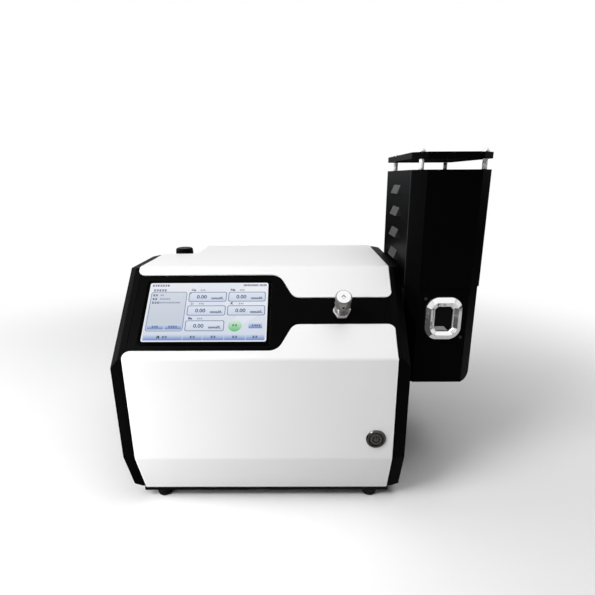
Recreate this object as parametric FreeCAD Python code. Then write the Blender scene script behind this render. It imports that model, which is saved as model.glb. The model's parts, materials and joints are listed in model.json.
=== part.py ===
import FreeCAD, Part
import math
import os
from FreeCAD import Matrix, Placement, Vector

# Flame photometer: a bench instrument with a sloping display face and a burner tower on its right.
# Frame: X to the right, Y to the rear, Z up. The origin is on the bench, under the housing's centre.
# All lengths are in millimetres.

# Clearances shared by the whole instrument
overrun = 2.0
join_tolerance = 0.0001
running_gap = 0.05
sliding_gap = 0.3
fit_gap = 0.2

# Housing outline, seen from the side
housing_width = 332.0
housing_depth = 300.0
housing_top_z = 310.4
foot_height = 11.0
base_height = 5.0
bottom_setback = 26.4
low_crease_setback = 2.0
low_crease_z = 77.3
high_crease_z = 216.0
top_setback = 95.9
rear_bevel = 15.4

# Covers, fascia and side panels
cover_sheet = 2.0
cover_lap = 3.0
fascia_thickness = 2.5
fascia_top_margin = 3.0
fascia_bottom_margin = 3.5
fascia_post_radius = 3.0
panel_flat_width = 5.5
panel_width = 16.0
panel_wall = 3.0
panel_inset_low = 3.3
panel_inset_screen = 11.5
panel_inset_top = 4.0
panel_inset_rear = 3.0
panel_inset_bottom = 4.0

# S-shaped edges of the white covers on the display face (across X, down S from the top edge)
step_display_gap = 10.3
step_run = 19.1
band_margin_above_display = 8.5
band_margin_below_display = 7.7
band_top_right_s = 48.3
band_bottom_right_s = 87.4
step_wide_radius = 18.0
step_tight_radius = 13.0
cover_corner_radius = 9.0

# Base plate, feet and foot screws
base_overhang = 1.3
base_floor = 2.0
base_lip = 3.0
foot_top_radius = 12.0
foot_bottom_radius = 9.5
foot_edge_radius = 2.5
foot_side_inset = 23.0
foot_inset = 37.0
foot_screw_radius = 2.0
foot_screw_head_radius = 4.0
foot_screw_head_height = 2.4
foot_counterbore_depth = 3.4
foot_screw_reach = 3.0

# Recess in the rear left corner of the top, for the air regulator
recess_width = 54.0
recess_depth = 100.0
recess_drop = 25.4
recess_corner_radius = 12.0
deck_sheet = 2.0

# Rear panel
rear_sheet = 2.0
rear_joint_gap = 0.6
rear_screw_head_radius = 3.0
rear_screw_head_height = 1.8
rear_screw_radius = 1.5
rear_screw_length = 5.0
rear_screw_inset = 9.0

# Display
display_side_margin = 14.5
display_top_margin = 22.0
glass_length = 162.0
glass_height = 93.4
glass_corner_radius = 2.5
module_side_margin = 1.5
module_end_margin = 3.3
module_thickness = 5.7
board_thickness = 1.6
display_board_side_margin = 7.5
display_board_end_margin = 4.0
post_side_gap = 1.1
post_end_inset = 6.0
chip_height = 2.4
connector_height = 7.0

# Power button on the lower front face
button_side_inset = 22.5
button_rise = 29.2
button_flange_radius = 12.7
button_flange_height = 2.2
button_flange_bevel = 0.8
button_barrel_radius = 11.0
button_barrel_depth = 27.0
button_cap_radius = 8.0
button_cap_proud = 1.6
button_cap_thickness = 6.0
button_travel = 2.0
button_nut_flats = 27.0
button_nut_thickness = 3.5
button_ring_groove_radius = 9.6
button_ring_groove_width = 0.9
button_ring_groove_depth = 0.5

# Fuel needle valve on the display face
valve_side_inset = 65.3
valve_drop = 0.55
valve_body_width = 26.0
valve_body_depth = 34.0
valve_neck_radius = 6.0
valve_neck_proud = 11.0
valve_nut_flats = 19.4
valve_nut_thickness = 5.5
valve_nut_chamfer = 1.2
needle_radius = 2.5
needle_tip_length = 5.0
needle_tip_radius = 0.8
needle_end_margin = 6.0
valve_knob_radius = 10.0
valve_knob_length = 21.0
valve_knob_gap = 2.6
valve_knob_chamfer = 1.4
valve_knob_socket = 4.2
valve_knob_socket_depth = 1.2
valve_knob_end_wall = 5.0
valve_knob_foot_radius = 8.2
valve_knob_foot_length = 4.0
set_screw_radius = 2.0
set_screw_height = 6.5
set_screw_recess = 1.2
port_depth = 5.0

# Air regulator in the rear left recess
regulator_side_inset = 28.0
regulator_rear_inset = 78.0
regulator_body_radius = 20.0
regulator_body_height = 58.0
regulator_port_drop = 37.0
regulator_neck_radius = 9.0
regulator_ring_radius = 12.0
regulator_ring_height = 3.6
regulator_stem_radius = 4.0
regulator_stem_rise = 27.0
regulator_stem_seat = 20.0
regulator_knob_radius = 13.5
regulator_knob_height = 26.4
regulator_knob_gap = 1.6
regulator_knob_chamfer = 2.5
regulator_knob_cap = 4.5
knob_rib_count = 24
knob_rib_radius = 0.9

# Tubes of the gas and air system
tube_radius = 3.0
tube_bore_radius = 2.0
tube_fit_gap = 0.3
fuel_line_drop = 45.0
fuel_line_bend = 35.0
burner_line_side_inset = 13.0
burner_line_first_bend = 18.0
burner_line_bend = 28.0
air_line_optics_gap = 12.0
air_line_bend = 28.0

# Rear fittings
fitting_flange_radius = 8.0
fitting_flange_thickness = 3.0
fitting_radius = 5.0
fitting_nipple_radius = 4.0
fitting_tip_radius = 3.2
fitting_nipple_length = 19.0
fitting_tip_length = 3.0
fitting_bore_radius = 2.0
fuel_port_rise = 35.0

# Fuel shut-off valve, standing on the base floor
shutoff_width = 34.0
shutoff_length = 50.0
shutoff_rear_inset = 46.0
shutoff_body_height = 50.0
shutoff_coil_radius = 15.0
shutoff_coil_height = 34.0

# Main board, its standoffs and the power supply
board_supply_gap = 20.0
board_valve_gap = 1.0
board_front_inset = 54.0
board_rear_inset = 66.0
board_standoff_height = 12.0
board_standoff_radius = 3.0
board_standoff_inset = 7.0
supply_side_gap = 5.0
supply_width = 98.0
supply_front_inset = 80.0
supply_rear_inset = 62.0
supply_height = 40.0
supply_sheet = 1.5
supply_slot_count = 9
supply_slot_width = 3.0

# Cooling fan on the rear panel
fan_side_inset = 136.0
fan_top_inset = 107.4
fan_size = 60.0
fan_thickness = 15.0
fan_corner_radius = 4.0
fan_bore_radius = 28.5
fan_hub_radius = 11.0
fan_spider_thickness = 2.5
fan_strut_width = 4.0
fan_pin_radius = 1.5
fan_blade_count = 7
fan_blade_thickness = 1.4
fan_tip_gap = 1.0
fan_blade_pitch_deg = 38.0
guard_ring_count = 4
guard_wire_radius = 0.8
guard_ring_step = 6.6
guard_standoff = 1.2

# Mains inlet with rocker switch and fuse drawer
mains_side_inset = 56.0
mains_rise = 57.0
mains_flange_width = 40.0
mains_flange_height = 80.0
mains_flange_thickness = 2.5
mains_body_width = 30.0
mains_body_height = 70.0
mains_body_depth = 32.0
socket_width = 24.0
socket_height = 16.5
socket_depth = 17.0
socket_drop = 23.0
socket_corner_radius = 3.0
pin_thickness = 2.0
pin_height = 4.0
pin_length = 10.0
pin_spacing = 7.0
pin_stagger = 2.0
drawer_width = 20.0
drawer_height = 10.0
drawer_depth = 23.0
drawer_drop = 3.0
drawer_lip = 2.0
drawer_lip_grip = 1.5
rocker_width = 20.0
rocker_height = 19.0
rocker_pocket_depth = 15.0
rocker_rise = 19.0
rocker_pivot_depth = 3.0
rocker_front = 5.4
rocker_ridge = 3.0
rocker_back = 5.0
rocker_back_height = 11.0
rocker_tilt_deg = 8.0
rocker_pin_radius = 1.5
rocker_pin_reach = 1.6
rocker_end_gap = 1.0

# Data port on the rear panel
data_port_mains_spacing = 90.0
data_port_drop = 10.0
data_port_length = 31.0
data_port_height = 12.5
data_port_flange = 1.5
data_shell_top = 17.0
data_shell_bottom = 14.0
data_shell_height = 8.4
data_shell_proud = 6.0
data_body_depth = 10.0
data_hole_radius = 0.6
data_hole_pitch = 2.7
data_hole_depth = 4.0
data_post_radius = 2.4
data_post_length = 5.0
data_post_spacing = 25.0

# Optical block beside the tower
optics_length = 64.0
optics_depth = 60.0
optics_height = 60.0
light_tube_radius = 11.0
light_bore_radius = 7.0
light_chamber_radius = 25.0
light_chamber_length = 18.0
lens_thickness = 4.0
lens_crown = 1.4
filter_count = 5
filter_ring_radius = 16.0
filter_radius = 4.5
filter_thickness = 2.0
filter_bore_radius = 4.6
diode_radius = 4.5
diode_length = 8.0
diode_lead_length = 5.0
diode_lead_radius = 0.5

# Burner tower on the right
tower_gap = 2.0
tower_width = 98.0
tower_front_setback = 62.5
tower_depth = 183.0
tower_chamfer = 16.0
tower_rear_radius = 3.0
tower_sheet = 1.5
tower_bottom_drop = 60.4
tower_bottom_radius = 11.0
box_height = 130.7
shell_height = 145.2
shell_lap = 14.0
mount_front_margin = 17.0
mount_rear_margin = 4.0
mount_bottom_margin = 9.0
mount_top_margin = 2.7

# Louvres on the tower's left face
louvre_count = 4
louvre_top_margin = 19.0
louvre_pitch = 29.3
louvre_width = 45.0
louvre_height = 11.5
louvre_out = 4.6
louvre_end_length = 16.0
louvre_sheet = 1.2
louvre_center_offset = 4.5

# Chimney lid on its standoffs
lid_gap = 12.5
lid_thickness = 7.6
standoff_radius = 3.0
standoff_side_inset = 11.0
standoff_end_inset = 11.5
stud_radius = 2.0
stud_rise = 3.0
dome_nut_flats = 7.0
dome_nut_hex_height = 1.6
dome_nut_radius = 3.1

# Chimney liner
liner_radius = 36.0
liner_wall = 1.5
liner_overlap = 6.7
liner_flange_radius = 44.0
liner_flange_thickness = 1.5

# Window in the tower's front
window_offset_x = 1.5
window_rise = 91.1
rim_width = 46.6
rim_height = 57.0
rim_corner_radius = 14.0
rim_ridge_width = 38.0
rim_ridge_height = 48.4
rim_ridge_radius = 10.0
rim_step_width = 27.0
rim_step_height = 36.0
rim_step_radius = 5.5
rim_opening_width = 22.6
rim_opening_height = 31.5
rim_opening_radius = 3.5
rim_proud = 6.0
rim_edge_height = 2.6
rim_step_height_above_face = 2.4
window_glass_thickness = 2.0
window_glass_lap = 4.0
window_screw_radius = 2.0
window_screw_head = 1.0
window_screw_shank_radius = 1.0
window_screw_dx = 24.6
window_screw_dz = 26.3

# Burner, spray chamber, nebuliser and igniter
chamber_radius = 21.0
chamber_wall = 2.5
chamber_rise = 27.4
chamber_front_reach = 26.0
nebuliser_room = 22.0
chamber_cap_radius = 22.5
chamber_cap_thickness = 6.0
saddle_width = 30.0
saddle_length = 64.0
rail_width = 18.0
rail_rise = 24.0
rail_length = 56.0
burner_stem_radius = 8.0
burner_stem_height = 12.0
burner_head_radius = 14.0
burner_head_height = 10.0
burner_bore_radius = 5.0
burner_jet_count = 8
burner_jet_radius = 1.0
burner_jet_circle = 9.5
igniter_radius = 2.5
igniter_height = 24.0
igniter_setback = 19.0
igniter_tip_radius = 0.9
igniter_tip_height = 5.0
nebuliser_radius = 7.0
nebuliser_nose_length = 12.0
nebuliser_nose_radius = 3.0
nebuliser_cap_radius = 9.0
nebuliser_cap_length = 9.0
nebuliser_nipple_radius = 1.5
nebuliser_nipple_length = 12.0
nebuliser_bore_radius = 0.4
drain_drop = 14.5
drain_radius = 4.0
drain_bore_radius = 2.5
drain_collar_radius = 5.2
drain_collar_thickness = 3.0
drain_nipple_length = 16.0

# Places worked out from the sizes above
half_width = housing_width / 2
inner_half_width = half_width - cover_lap
front_y = -housing_depth / 2
rear_y = housing_depth / 2
cover_bottom_z = foot_height + base_height
floor_z = foot_height + base_floor
panel_outer_x = half_width + panel_width
panel_inner_face_x = panel_outer_x - panel_wall
under_cover_z = housing_top_z - cover_sheet

display_x0 = display_side_margin - half_width
display_x1 = display_x0 + glass_length
display_s0 = display_top_margin
display_s1 = display_s0 + glass_height
display_center_x = (display_x0 + display_x1) / 2
display_center_s = (display_s0 + display_s1) / 2
module_length = glass_length + module_side_margin * 2
module_height = glass_height + module_end_margin * 2
display_board_length = module_length + display_board_side_margin * 2
display_board_height = module_height + display_board_end_margin * 2
post_inset_x = module_length / 2 + fascia_post_radius + post_side_gap
post_inset_s = module_height / 2 - post_end_inset
step_start_x = display_x1 + step_display_gap
step_end_x = step_start_x + step_run
band_top_left_s = display_s0 - band_margin_above_display
band_bottom_left_s = display_s1 + band_margin_below_display
band_middle_s = (band_top_right_s + band_bottom_right_s) / 2

button_x = half_width - button_side_inset
button_z = low_crease_z + button_rise
valve_x = half_width - valve_side_inset
valve_s = band_middle_s + valve_drop
foot_x = half_width - foot_side_inset

recess_edge_x = recess_width - half_width
recess_front_y = rear_y - recess_depth
recess_floor_z = housing_top_z - recess_drop
regulator_x = regulator_side_inset - half_width
regulator_y = rear_y - regulator_rear_inset
regulator_top_z = recess_floor_z - deck_sheet
regulator_port_z = regulator_top_z - regulator_port_drop

fuel_line_x = valve_x
fuel_inlet_z = floor_z + fuel_port_rise
shutoff_rear_y = rear_y - shutoff_rear_inset
shutoff_front_y = shutoff_rear_y - shutoff_length
supply_left_x = supply_side_gap - inner_half_width
supply_right_x = supply_left_x + supply_width
supply_front_y = front_y + supply_front_inset
supply_rear_y = rear_y - supply_rear_inset
board_left_x = supply_right_x + board_supply_gap
board_right_x = fuel_line_x - shutoff_width / 2 - board_valve_gap
board_front_y = front_y + board_front_inset
board_rear_y = rear_y - board_rear_inset
fan_x = half_width - fan_side_inset
fan_z = housing_top_z - fan_top_inset
mains_x = mains_side_inset - half_width
mains_z = cover_bottom_z + mains_rise
data_port_x = mains_x + data_port_mains_spacing
data_port_z = mains_z - data_port_drop

tower_left_x = panel_outer_x + tower_gap
tower_right_x = tower_left_x + tower_width
tower_x = tower_left_x + tower_width / 2
tower_front_y = front_y + tower_front_setback
tower_rear_y = tower_front_y + tower_depth
tower_y = tower_front_y + tower_depth / 2
tower_bottom_z = high_crease_z - tower_bottom_drop
shell_bottom_z = tower_bottom_z + box_height
shell_top_z = shell_bottom_z + shell_height
lid_bottom_z = shell_top_z + lid_gap
louvre_top_z = shell_top_z - louvre_top_margin
liner_bottom_z = shell_bottom_z - liner_overlap
box_front_y = tower_front_y + tower_sheet
box_rear_y = tower_rear_y - tower_sheet
box_left_x = tower_left_x + tower_sheet
window_x = tower_x + window_offset_x
window_z = tower_bottom_z + window_rise
optics_z = window_z
chamber_z = tower_bottom_z + chamber_rise
chamber_rear_y = box_rear_y - nebuliser_room
drain_z = chamber_z - drain_drop
mount_front_y = tower_front_y + mount_front_margin
mount_rear_y = tower_rear_y - mount_rear_margin
mount_bottom_z = tower_bottom_z + mount_bottom_margin
mount_top_z = shell_bottom_z - mount_top_margin
nebuliser_port_y = (chamber_rear_y + chamber_cap_thickness + box_rear_y - tower_sheet) / 2
burner_port_y = tower_y - burner_stem_radius - tube_radius
burner_line_x = half_width - burner_line_side_inset
air_line_x = panel_inner_face_x - optics_length - air_line_optics_gap

housing_outline = [
    (front_y + bottom_setback, cover_bottom_z),
    (front_y + low_crease_setback, low_crease_z),
    (front_y, high_crease_z),
    (front_y + top_setback, housing_top_z),
    (rear_y - rear_bevel, housing_top_z),
    (rear_y, housing_top_z - rear_bevel),
    (rear_y, cover_bottom_z),
]


# General helpers

def box(x0, x1, y0, y1, z0, z1):
    return Part.makeBox(x1 - x0, y1 - y0, z1 - z0, Vector(x0, y0, z0))


def rod(radius, start, end):
    start = Vector(*start)
    along = Vector(*end) - start
    return Part.makeCylinder(radius, along.Length, start, along)


def cone(start_radius, end_radius, start, end):
    start = Vector(*start)
    along = Vector(*end) - start
    return Part.makeCone(start_radius, end_radius, along.Length, start, along)


def joined(shapes):
    first = shapes[0]
    if len(shapes) == 1:
        return first
    return first.fuse(shapes[1:]).removeSplitter()


def without(shape, cutters):
    return shape.cut(cutters)


def placed(shape, placement):
    moved = shape.copy()
    moved.Placement = placement.multiply(moved.Placement)
    return moved


def unit(a, b):
    length = math.hypot(b[0] - a[0], b[1] - a[1])
    return ((b[0] - a[0]) / length, (b[1] - a[1]) / length)


def inset_outline(points, distances):
    """Move each edge of a clockwise outline inwards by its own distance."""
    count = len(points)
    lines = []
    for i in range(count):
        ex, ez = unit(points[i], points[(i + 1) % count])
        lines.append((points[i][0] + ez * distances[i], points[i][1] - ex * distances[i], ex, ez))
    moved = []
    for i in range(count):
        ax, az, aex, aez = lines[i - 1]
        bx, bz, bex, bez = lines[i]
        along = ((bx - ax) * bez - (bz - az) * bex) / (aex * bez - aez * bex)
        moved.append((ax + aex * along, az + aez * along))
    return moved


def yz_wire(points, x):
    corners = [Vector(x, y, z) for y, z in points]
    return Part.makePolygon(corners + corners[:1])


def yz_prism(points, x0, x1):
    return Part.Face(yz_wire(points, x0)).extrude(Vector(x1 - x0, 0, 0))


def rounded_wire(corners):
    """Closed wire in the XY plane through (x, y, radius) corners, with arcs at the rounded ones."""
    edges = []
    ends = []
    count = len(corners)
    for i in range(count):
        x, y, radius = corners[i]
        here = Vector(x, y, 0)
        if radius <= 0:
            ends.append((here, here))
            continue
        back = Vector(corners[i - 1][0], corners[i - 1][1], 0) - here
        ahead = Vector(corners[(i + 1) % count][0], corners[(i + 1) % count][1], 0) - here
        back.normalize()
        ahead.normalize()
        half_angle = back.getAngle(ahead) / 2
        reach = radius / math.tan(half_angle)
        middle = back + ahead
        middle.normalize()
        crown = here + middle * (radius / math.sin(half_angle) - radius)
        start = here + back * reach
        end = here + ahead * reach
        edges.append(Part.Arc(start, crown, end).toShape())
        ends.append((start, end))
    for i in range(count):
        start = ends[i][1]
        end = ends[(i + 1) % count][0]
        if (end - start).Length > join_tolerance:
            edges.append(Part.LineSegment(start, end).toShape())
    return Part.Wire(Part.__sortEdges__(edges))


def rounded_prism(corners, z0, z1):
    face = Part.Face(rounded_wire(corners))
    prism = face.extrude(Vector(0, 0, z1 - z0))
    prism.translate(Vector(0, 0, z0))
    return prism


def rounded_rectangle(x0, x1, y0, y1, radius):
    return [(x0, y0, radius), (x1, y0, radius), (x1, y1, radius), (x0, y1, radius)]


def hexagon(flats, turn_deg=0.0):
    corner_radius = flats / 2 / math.cos(math.pi / 6)
    angles = [math.radians(turn_deg + 60 * i) for i in range(6)]
    return [(corner_radius * math.cos(a), corner_radius * math.sin(a), 0) for a in angles]


def around(center, radius, turn_deg):
    turn = math.radians(turn_deg)
    return (center[0] + radius * math.cos(turn), center[1] + radius * math.sin(turn))


def face_frame(top, bottom):
    """Frame of a housing face: X across, Y down along the face, Z into the housing."""
    dy, dz = unit(top, bottom)
    return Placement(Matrix(1, 0, 0, 0, 0, dy, -dz, top[0], 0, dz, dy, top[1], 0, 0, 0, 1))


def upright(shape):
    """Turn a shape drawn in the XY plane so that its Y becomes Z and its Z becomes -Y."""
    return placed(shape, Placement(Vector(0, 0, 0), FreeCAD.Rotation(Vector(1, 0, 0), 90)))


def upright_prism(corners, y0, y1):
    return upright(rounded_prism(corners, -y1, -y0))


def upright_section(center, width, height, radius, y):
    x, z = center
    corners = rounded_rectangle(x - width / 2, x + width / 2, z - height / 2, z + height / 2, radius)
    wire = rounded_wire(corners)
    wire.translate(Vector(0, 0, -y))
    return upright(wire)


def hex_prism(center, flats, z0, z1, turn_deg=0.0):
    corners = [(center[0] + x, center[1] + y, r) for x, y, r in hexagon(flats, turn_deg)]
    return rounded_prism(corners, z0, z1)


def bent_tube(name, points, bend_radii, radius, bore_radius):
    """Tube along straight runs joined by tangent arcs, with its volume set against its length."""
    corners = [Vector(*p) for p in points]
    edges = []
    start = corners[0]
    for i in range(1, len(corners) - 1):
        back = corners[i - 1] - corners[i]
        ahead = corners[i + 1] - corners[i]
        back.normalize()
        ahead.normalize()
        half_angle = back.getAngle(ahead) / 2
        reach = bend_radii[i - 1] / math.tan(half_angle)
        middle = back + ahead
        middle.normalize()
        crown = corners[i] + middle * (bend_radii[i - 1] / math.sin(half_angle) - bend_radii[i - 1])
        edges.append(Part.LineSegment(start, corners[i] + back * reach).toShape())
        edges.append(Part.Arc(corners[i] + back * reach, crown, corners[i] + ahead * reach).toShape())
        start = corners[i] + ahead * reach
    edges.append(Part.LineSegment(start, corners[-1]).toShape())
    length = sum(edge.Length for edge in edges)
    path = Part.Wire(edges)
    along = corners[1] - corners[0]
    outer = path.makePipeShell([Part.Wire(Part.Circle(corners[0], along, radius).toShape())], True, False)
    inner = path.makePipeShell([Part.Wire(Part.Circle(corners[0], along, bore_radius).toShape())], True, False)
    tube = outer.cut(inner)
    expected = math.pi * (radius ** 2 - bore_radius ** 2) * length
    print(name, "length", round(length, 1), "bend radii", bend_radii,
          "volume share", round(tube.Volume / expected, 4))
    return tube


# Frames and points of the two front faces
bottom_front, low_crease, high_crease, top_front, top_rear, rear_top, rear_bottom = housing_outline
screen_frame = face_frame(top_front, high_crease)
front_frame = face_frame(high_crease, low_crease)
screen_length = math.hypot(top_setback, housing_top_z - high_crease_z)
fascia_back = cover_sheet + fascia_thickness
cover_insets = [cover_sheet] * 5 + [0, 0]
under_cover_outline = inset_outline(housing_outline, cover_insets)
button_s = (high_crease_z - button_z) / abs(unit(high_crease, low_crease)[1])
valve_end_depth = fascia_back + valve_body_depth
valve_port_depth = (fascia_back + valve_end_depth) / 2


def on_screen(x, s, depth):
    point = screen_frame.multVec(Vector(x, s, depth))
    return (point.x, point.y, point.z)


# Covers

def cover_sheet_blank(indices, face_s, face_first):
    """Bent sheet of the given housing corners that ends on the display face at face_s."""
    outer = [housing_outline[i] for i in indices]
    inner = [under_cover_outline[i] for i in indices]
    outer_end = on_screen(0, face_s, 0)[1:]
    inner_end = on_screen(0, face_s, cover_sheet)[1:]
    if face_first:
        points = [outer_end] + outer + inner[::-1] + [inner_end]
    else:
        points = outer + [outer_end, inner_end] + inner[::-1]
    return yz_prism(points, -half_width, half_width)


def face_waste(keep_corners, s0, s1):
    """What a cover's cut edge leaves out of the display face, between s0 and s1."""
    x1 = half_width + overrun
    field = rounded_prism(rounded_rectangle(-x1, x1, s0, s1, 0), -overrun, cover_sheet + overrun)
    keep = rounded_prism(keep_corners, -overrun * 2, cover_sheet + overrun * 2)
    return placed(field.cut(keep), screen_frame)


def cover_edge(left_s, right_s, far_s):
    return [
        (-half_width, far_s, 0),
        (-half_width, left_s, cover_corner_radius),
        (step_start_x, left_s, step_wide_radius),
        (step_end_x, right_s, step_tight_radius),
        (half_width, right_s, cover_corner_radius),
        (half_width, far_s, 0),
    ]


def make_lower_cover():
    blank = cover_sheet_blank([0, 1, 2], band_middle_s, False)
    edge = cover_edge(band_bottom_left_s, band_bottom_right_s, screen_length + overrun)
    waste = face_waste(edge, band_middle_s - overrun, screen_length)
    hole = rod(button_barrel_radius + fit_gap, (button_x, button_s, -overrun),
               (button_x, button_s, cover_sheet + overrun))
    return without(blank, [waste, placed(hole, front_frame)])


def recess_corners(grow, left_x, rear_end):
    return [
        (left_x, recess_front_y - grow, 0),
        (recess_edge_x + grow, recess_front_y - grow, recess_corner_radius + grow),
        (recess_edge_x + grow, rear_end, 0),
        (left_x, rear_end, 0),
    ]


def recess_cutter(floor_z, grow):
    corners = recess_corners(grow, -panel_outer_x - overrun, rear_y + overrun)
    return rounded_prism(corners, floor_z, housing_top_z + overrun)


def make_upper_cover():
    blank = cover_sheet_blank([3, 4, 5], band_middle_s, True)
    edge = cover_edge(band_top_left_s, band_top_right_s, -overrun)
    waste = face_waste(edge, 0, band_middle_s + overrun)
    return without(blank, [waste, recess_cutter(recess_floor_z, 0)])


def make_front_fascia():
    s1 = screen_length - fascia_bottom_margin
    plate = box(-inner_half_width, inner_half_width, fascia_top_margin, s1, cover_sheet, fascia_back)
    posts = []
    for sx in (-1, 1):
        for ss in (-1, 1):
            x = display_center_x + sx * post_inset_x
            s = display_center_s + ss * post_inset_s
            posts.append(rod(fascia_post_radius, (x, s, fascia_back), (x, s, fascia_back + module_thickness)))
    opening = rounded_prism(
        rounded_rectangle(display_x0 - fit_gap, display_x1 + fit_gap, display_s0 - fit_gap,
                          display_s1 + fit_gap, glass_corner_radius + fit_gap),
        0, fascia_back + overrun)
    valve_hole = rod(valve_neck_radius + fit_gap, (valve_x, valve_s, 0), (valve_x, valve_s, fascia_back + overrun))
    return placed(without(joined([plate] + posts), [opening, valve_hole]), screen_frame)


# Side panels

def make_right_side_panel():
    flat_outline = under_cover_outline
    edge_insets = [panel_inset_low, panel_inset_low, panel_inset_screen, panel_inset_top,
                   panel_inset_top, panel_inset_rear, panel_inset_bottom]
    outer_outline = inset_outline(housing_outline, edge_insets)
    flat_x = half_width + panel_flat_width
    flange = yz_prism(flat_outline, inner_half_width, flat_x)
    bevel = Part.makeLoft([yz_wire(flat_outline, flat_x), yz_wire(outer_outline, panel_outer_x)], True, True)
    walls = [panel_wall] * len(housing_outline)
    wide_room = yz_prism(inset_outline(flat_outline, walls), inner_half_width - overrun, flat_x - panel_wall)
    narrow_room = yz_prism(inset_outline(outer_outline, walls), flat_x - panel_wall - overrun,
                           panel_inner_face_x)
    return joined([flange, bevel]), joined([wide_room, narrow_room])


def panel_holes(x0, x1):
    """Holes for the light tube and the two gas tubes through the walls between housing and tower."""
    tube_hole = tube_radius + tube_fit_gap
    light_hole = light_tube_radius + tube_fit_gap
    return [
        rod(light_hole, (x0, tower_y, optics_z), (x1, tower_y, optics_z)),
        rod(tube_hole, (x0, burner_port_y, chamber_z), (x1, burner_port_y, chamber_z)),
        rod(tube_hole, (x0, nebuliser_port_y, chamber_z), (x1, nebuliser_port_y, chamber_z)),
    ]


def make_side_panels():
    outer, room = make_right_side_panel()
    holes = panel_holes(panel_inner_face_x - overrun, panel_outer_x + overrun)
    right = without(outer, [room] + holes)
    mirror_plane = (Vector(0, 0, 0), Vector(1, 0, 0))
    left_outer = outer.mirror(*mirror_plane).cut(recess_cutter(recess_floor_z, 0))
    left_room = room.mirror(*mirror_plane).cut(recess_cutter(recess_floor_z - panel_wall, panel_wall))
    return left_outer.cut(left_room), right


# Base, feet, recess deck and rear panel

def foot_centers():
    return [(sx * foot_x, sy * (housing_depth / 2 - foot_inset)) for sx in (-1, 1) for sy in (-1, 1)]


def make_base_plate():
    x1 = half_width + base_overhang
    y0 = bottom_front[0]
    tray = box(-x1, x1, y0, rear_y, foot_height, cover_bottom_z)
    inside = box(-x1 + base_lip, x1 - base_lip, y0 + base_lip, rear_y - base_lip, floor_z,
                 cover_bottom_z + overrun)
    holes = [rod(foot_screw_radius, (x, y, 0), (x, y, cover_bottom_z)) for x, y in foot_centers()]
    return without(tray, [inside] + holes)


def make_rubber_feet():
    feet = []
    for x, y in foot_centers():
        foot = cone(foot_bottom_radius, foot_top_radius, (x, y, 0), (x, y, foot_height))
        rim = [e for e in foot.Edges if e.BoundBox.ZMax < foot_height / 2 and len(e.Vertexes) == 1]
        foot = foot.makeFillet(foot_edge_radius, rim)
        hole = rod(foot_screw_radius, (x, y, -overrun), (x, y, foot_height + overrun))
        recess = rod(foot_screw_head_radius + fit_gap, (x, y, -overrun), (x, y, foot_counterbore_depth))
        feet.append(without(foot, [hole, recess]))
    return Part.makeCompound(feet)


def make_foot_screws():
    screws = []
    for x, y in foot_centers():
        head_z = foot_counterbore_depth - foot_screw_head_height
        head = rod(foot_screw_head_radius, (x, y, head_z), (x, y, foot_counterbore_depth))
        shank = rod(foot_screw_radius, (x, y, foot_counterbore_depth), (x, y, floor_z + foot_screw_reach))
        slot = box(x - foot_screw_head_radius, x + foot_screw_head_radius, y - foot_screw_radius / 4,
                   y + foot_screw_radius / 4, head_z - overrun, head_z + foot_screw_head_height / 3)
        screws.append(joined([head, shank]).cut(slot))
    return Part.makeCompound(screws)


def make_regulator_deck():
    rear_end = rear_y - rear_sheet
    outer = rounded_prism(recess_corners(deck_sheet, -inner_half_width, rear_end),
                          recess_floor_z - deck_sheet, under_cover_z)
    outer = outer.common(yz_prism(under_cover_outline, -half_width, half_width))
    hole = rod(regulator_neck_radius + fit_gap, (regulator_x, regulator_y, recess_floor_z - deck_sheet * 2),
               (regulator_x, regulator_y, recess_floor_z + overrun))
    return without(outer, [recess_cutter(recess_floor_z, 0), hole])


def rear_panel_top():
    return under_cover_outline[5][1] - rear_joint_gap


def rear_screw_centers():
    x1 = inner_half_width - rear_screw_inset
    low_z = cover_bottom_z + rear_screw_inset
    high_z = rear_panel_top() - rear_screw_inset
    middle_z = (low_z + high_z) / 2
    left_top_z = recess_floor_z - deck_sheet - rear_screw_inset
    return [(-x1, low_z), (x1, low_z), (-x1, middle_z), (x1, middle_z), (-x1, left_top_z), (x1, high_z)]


def make_rear_panel():
    y0 = rear_y - rear_sheet
    panel = box(-inner_half_width, inner_half_width, y0, rear_y, cover_bottom_z, rear_panel_top())
    through = (y0 - overrun, rear_y + overrun)
    notch = box(-half_width, recess_edge_x, through[0], through[1], recess_floor_z, housing_top_z)
    inlet = box(mains_x - mains_body_width / 2, mains_x + mains_body_width / 2, through[0], through[1],
                mains_z - mains_body_height / 2, mains_z + mains_body_height / 2)
    data = box(data_port_x - data_shell_top / 2, data_port_x + data_shell_top / 2, through[0], through[1],
               data_port_z - data_shell_height / 2, data_port_z + data_shell_height / 2)
    cutters = [notch, inlet, data]
    cutters.append(rod(fan_bore_radius, (fan_x, through[0], fan_z), (fan_x, through[1], fan_z)))
    for x, z in [(regulator_x, regulator_port_z), (fuel_line_x, fuel_inlet_z)]:
        cutters.append(rod(fitting_radius, (x, through[0], z), (x, through[1], z)))
    for x, z in rear_screw_centers():
        cutters.append(rod(rear_screw_radius, (x, through[0], z), (x, through[1], z)))
    return without(panel, cutters)


def make_rear_panel_screws():
    screws = []
    for x, z in rear_screw_centers():
        head = cone(rear_screw_head_radius, rear_screw_head_radius - rear_screw_head_height / 2, (x, rear_y, z),
                    (x, rear_y + rear_screw_head_height, z))
        shank = rod(rear_screw_radius, (x, rear_y - rear_screw_length, z), (x, rear_y, z))
        y = rear_y + rear_screw_head_height
        cross = [box(x - a, x + a, y - rear_screw_head_height / 2, y + overrun, z - b, z + b)
                 for a, b in [(rear_screw_radius, rear_screw_radius / 5), (rear_screw_radius / 5, rear_screw_radius)]]
        screws.append(without(joined([head, shank]), cross))
    return Part.makeCompound(screws)


# Display

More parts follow.
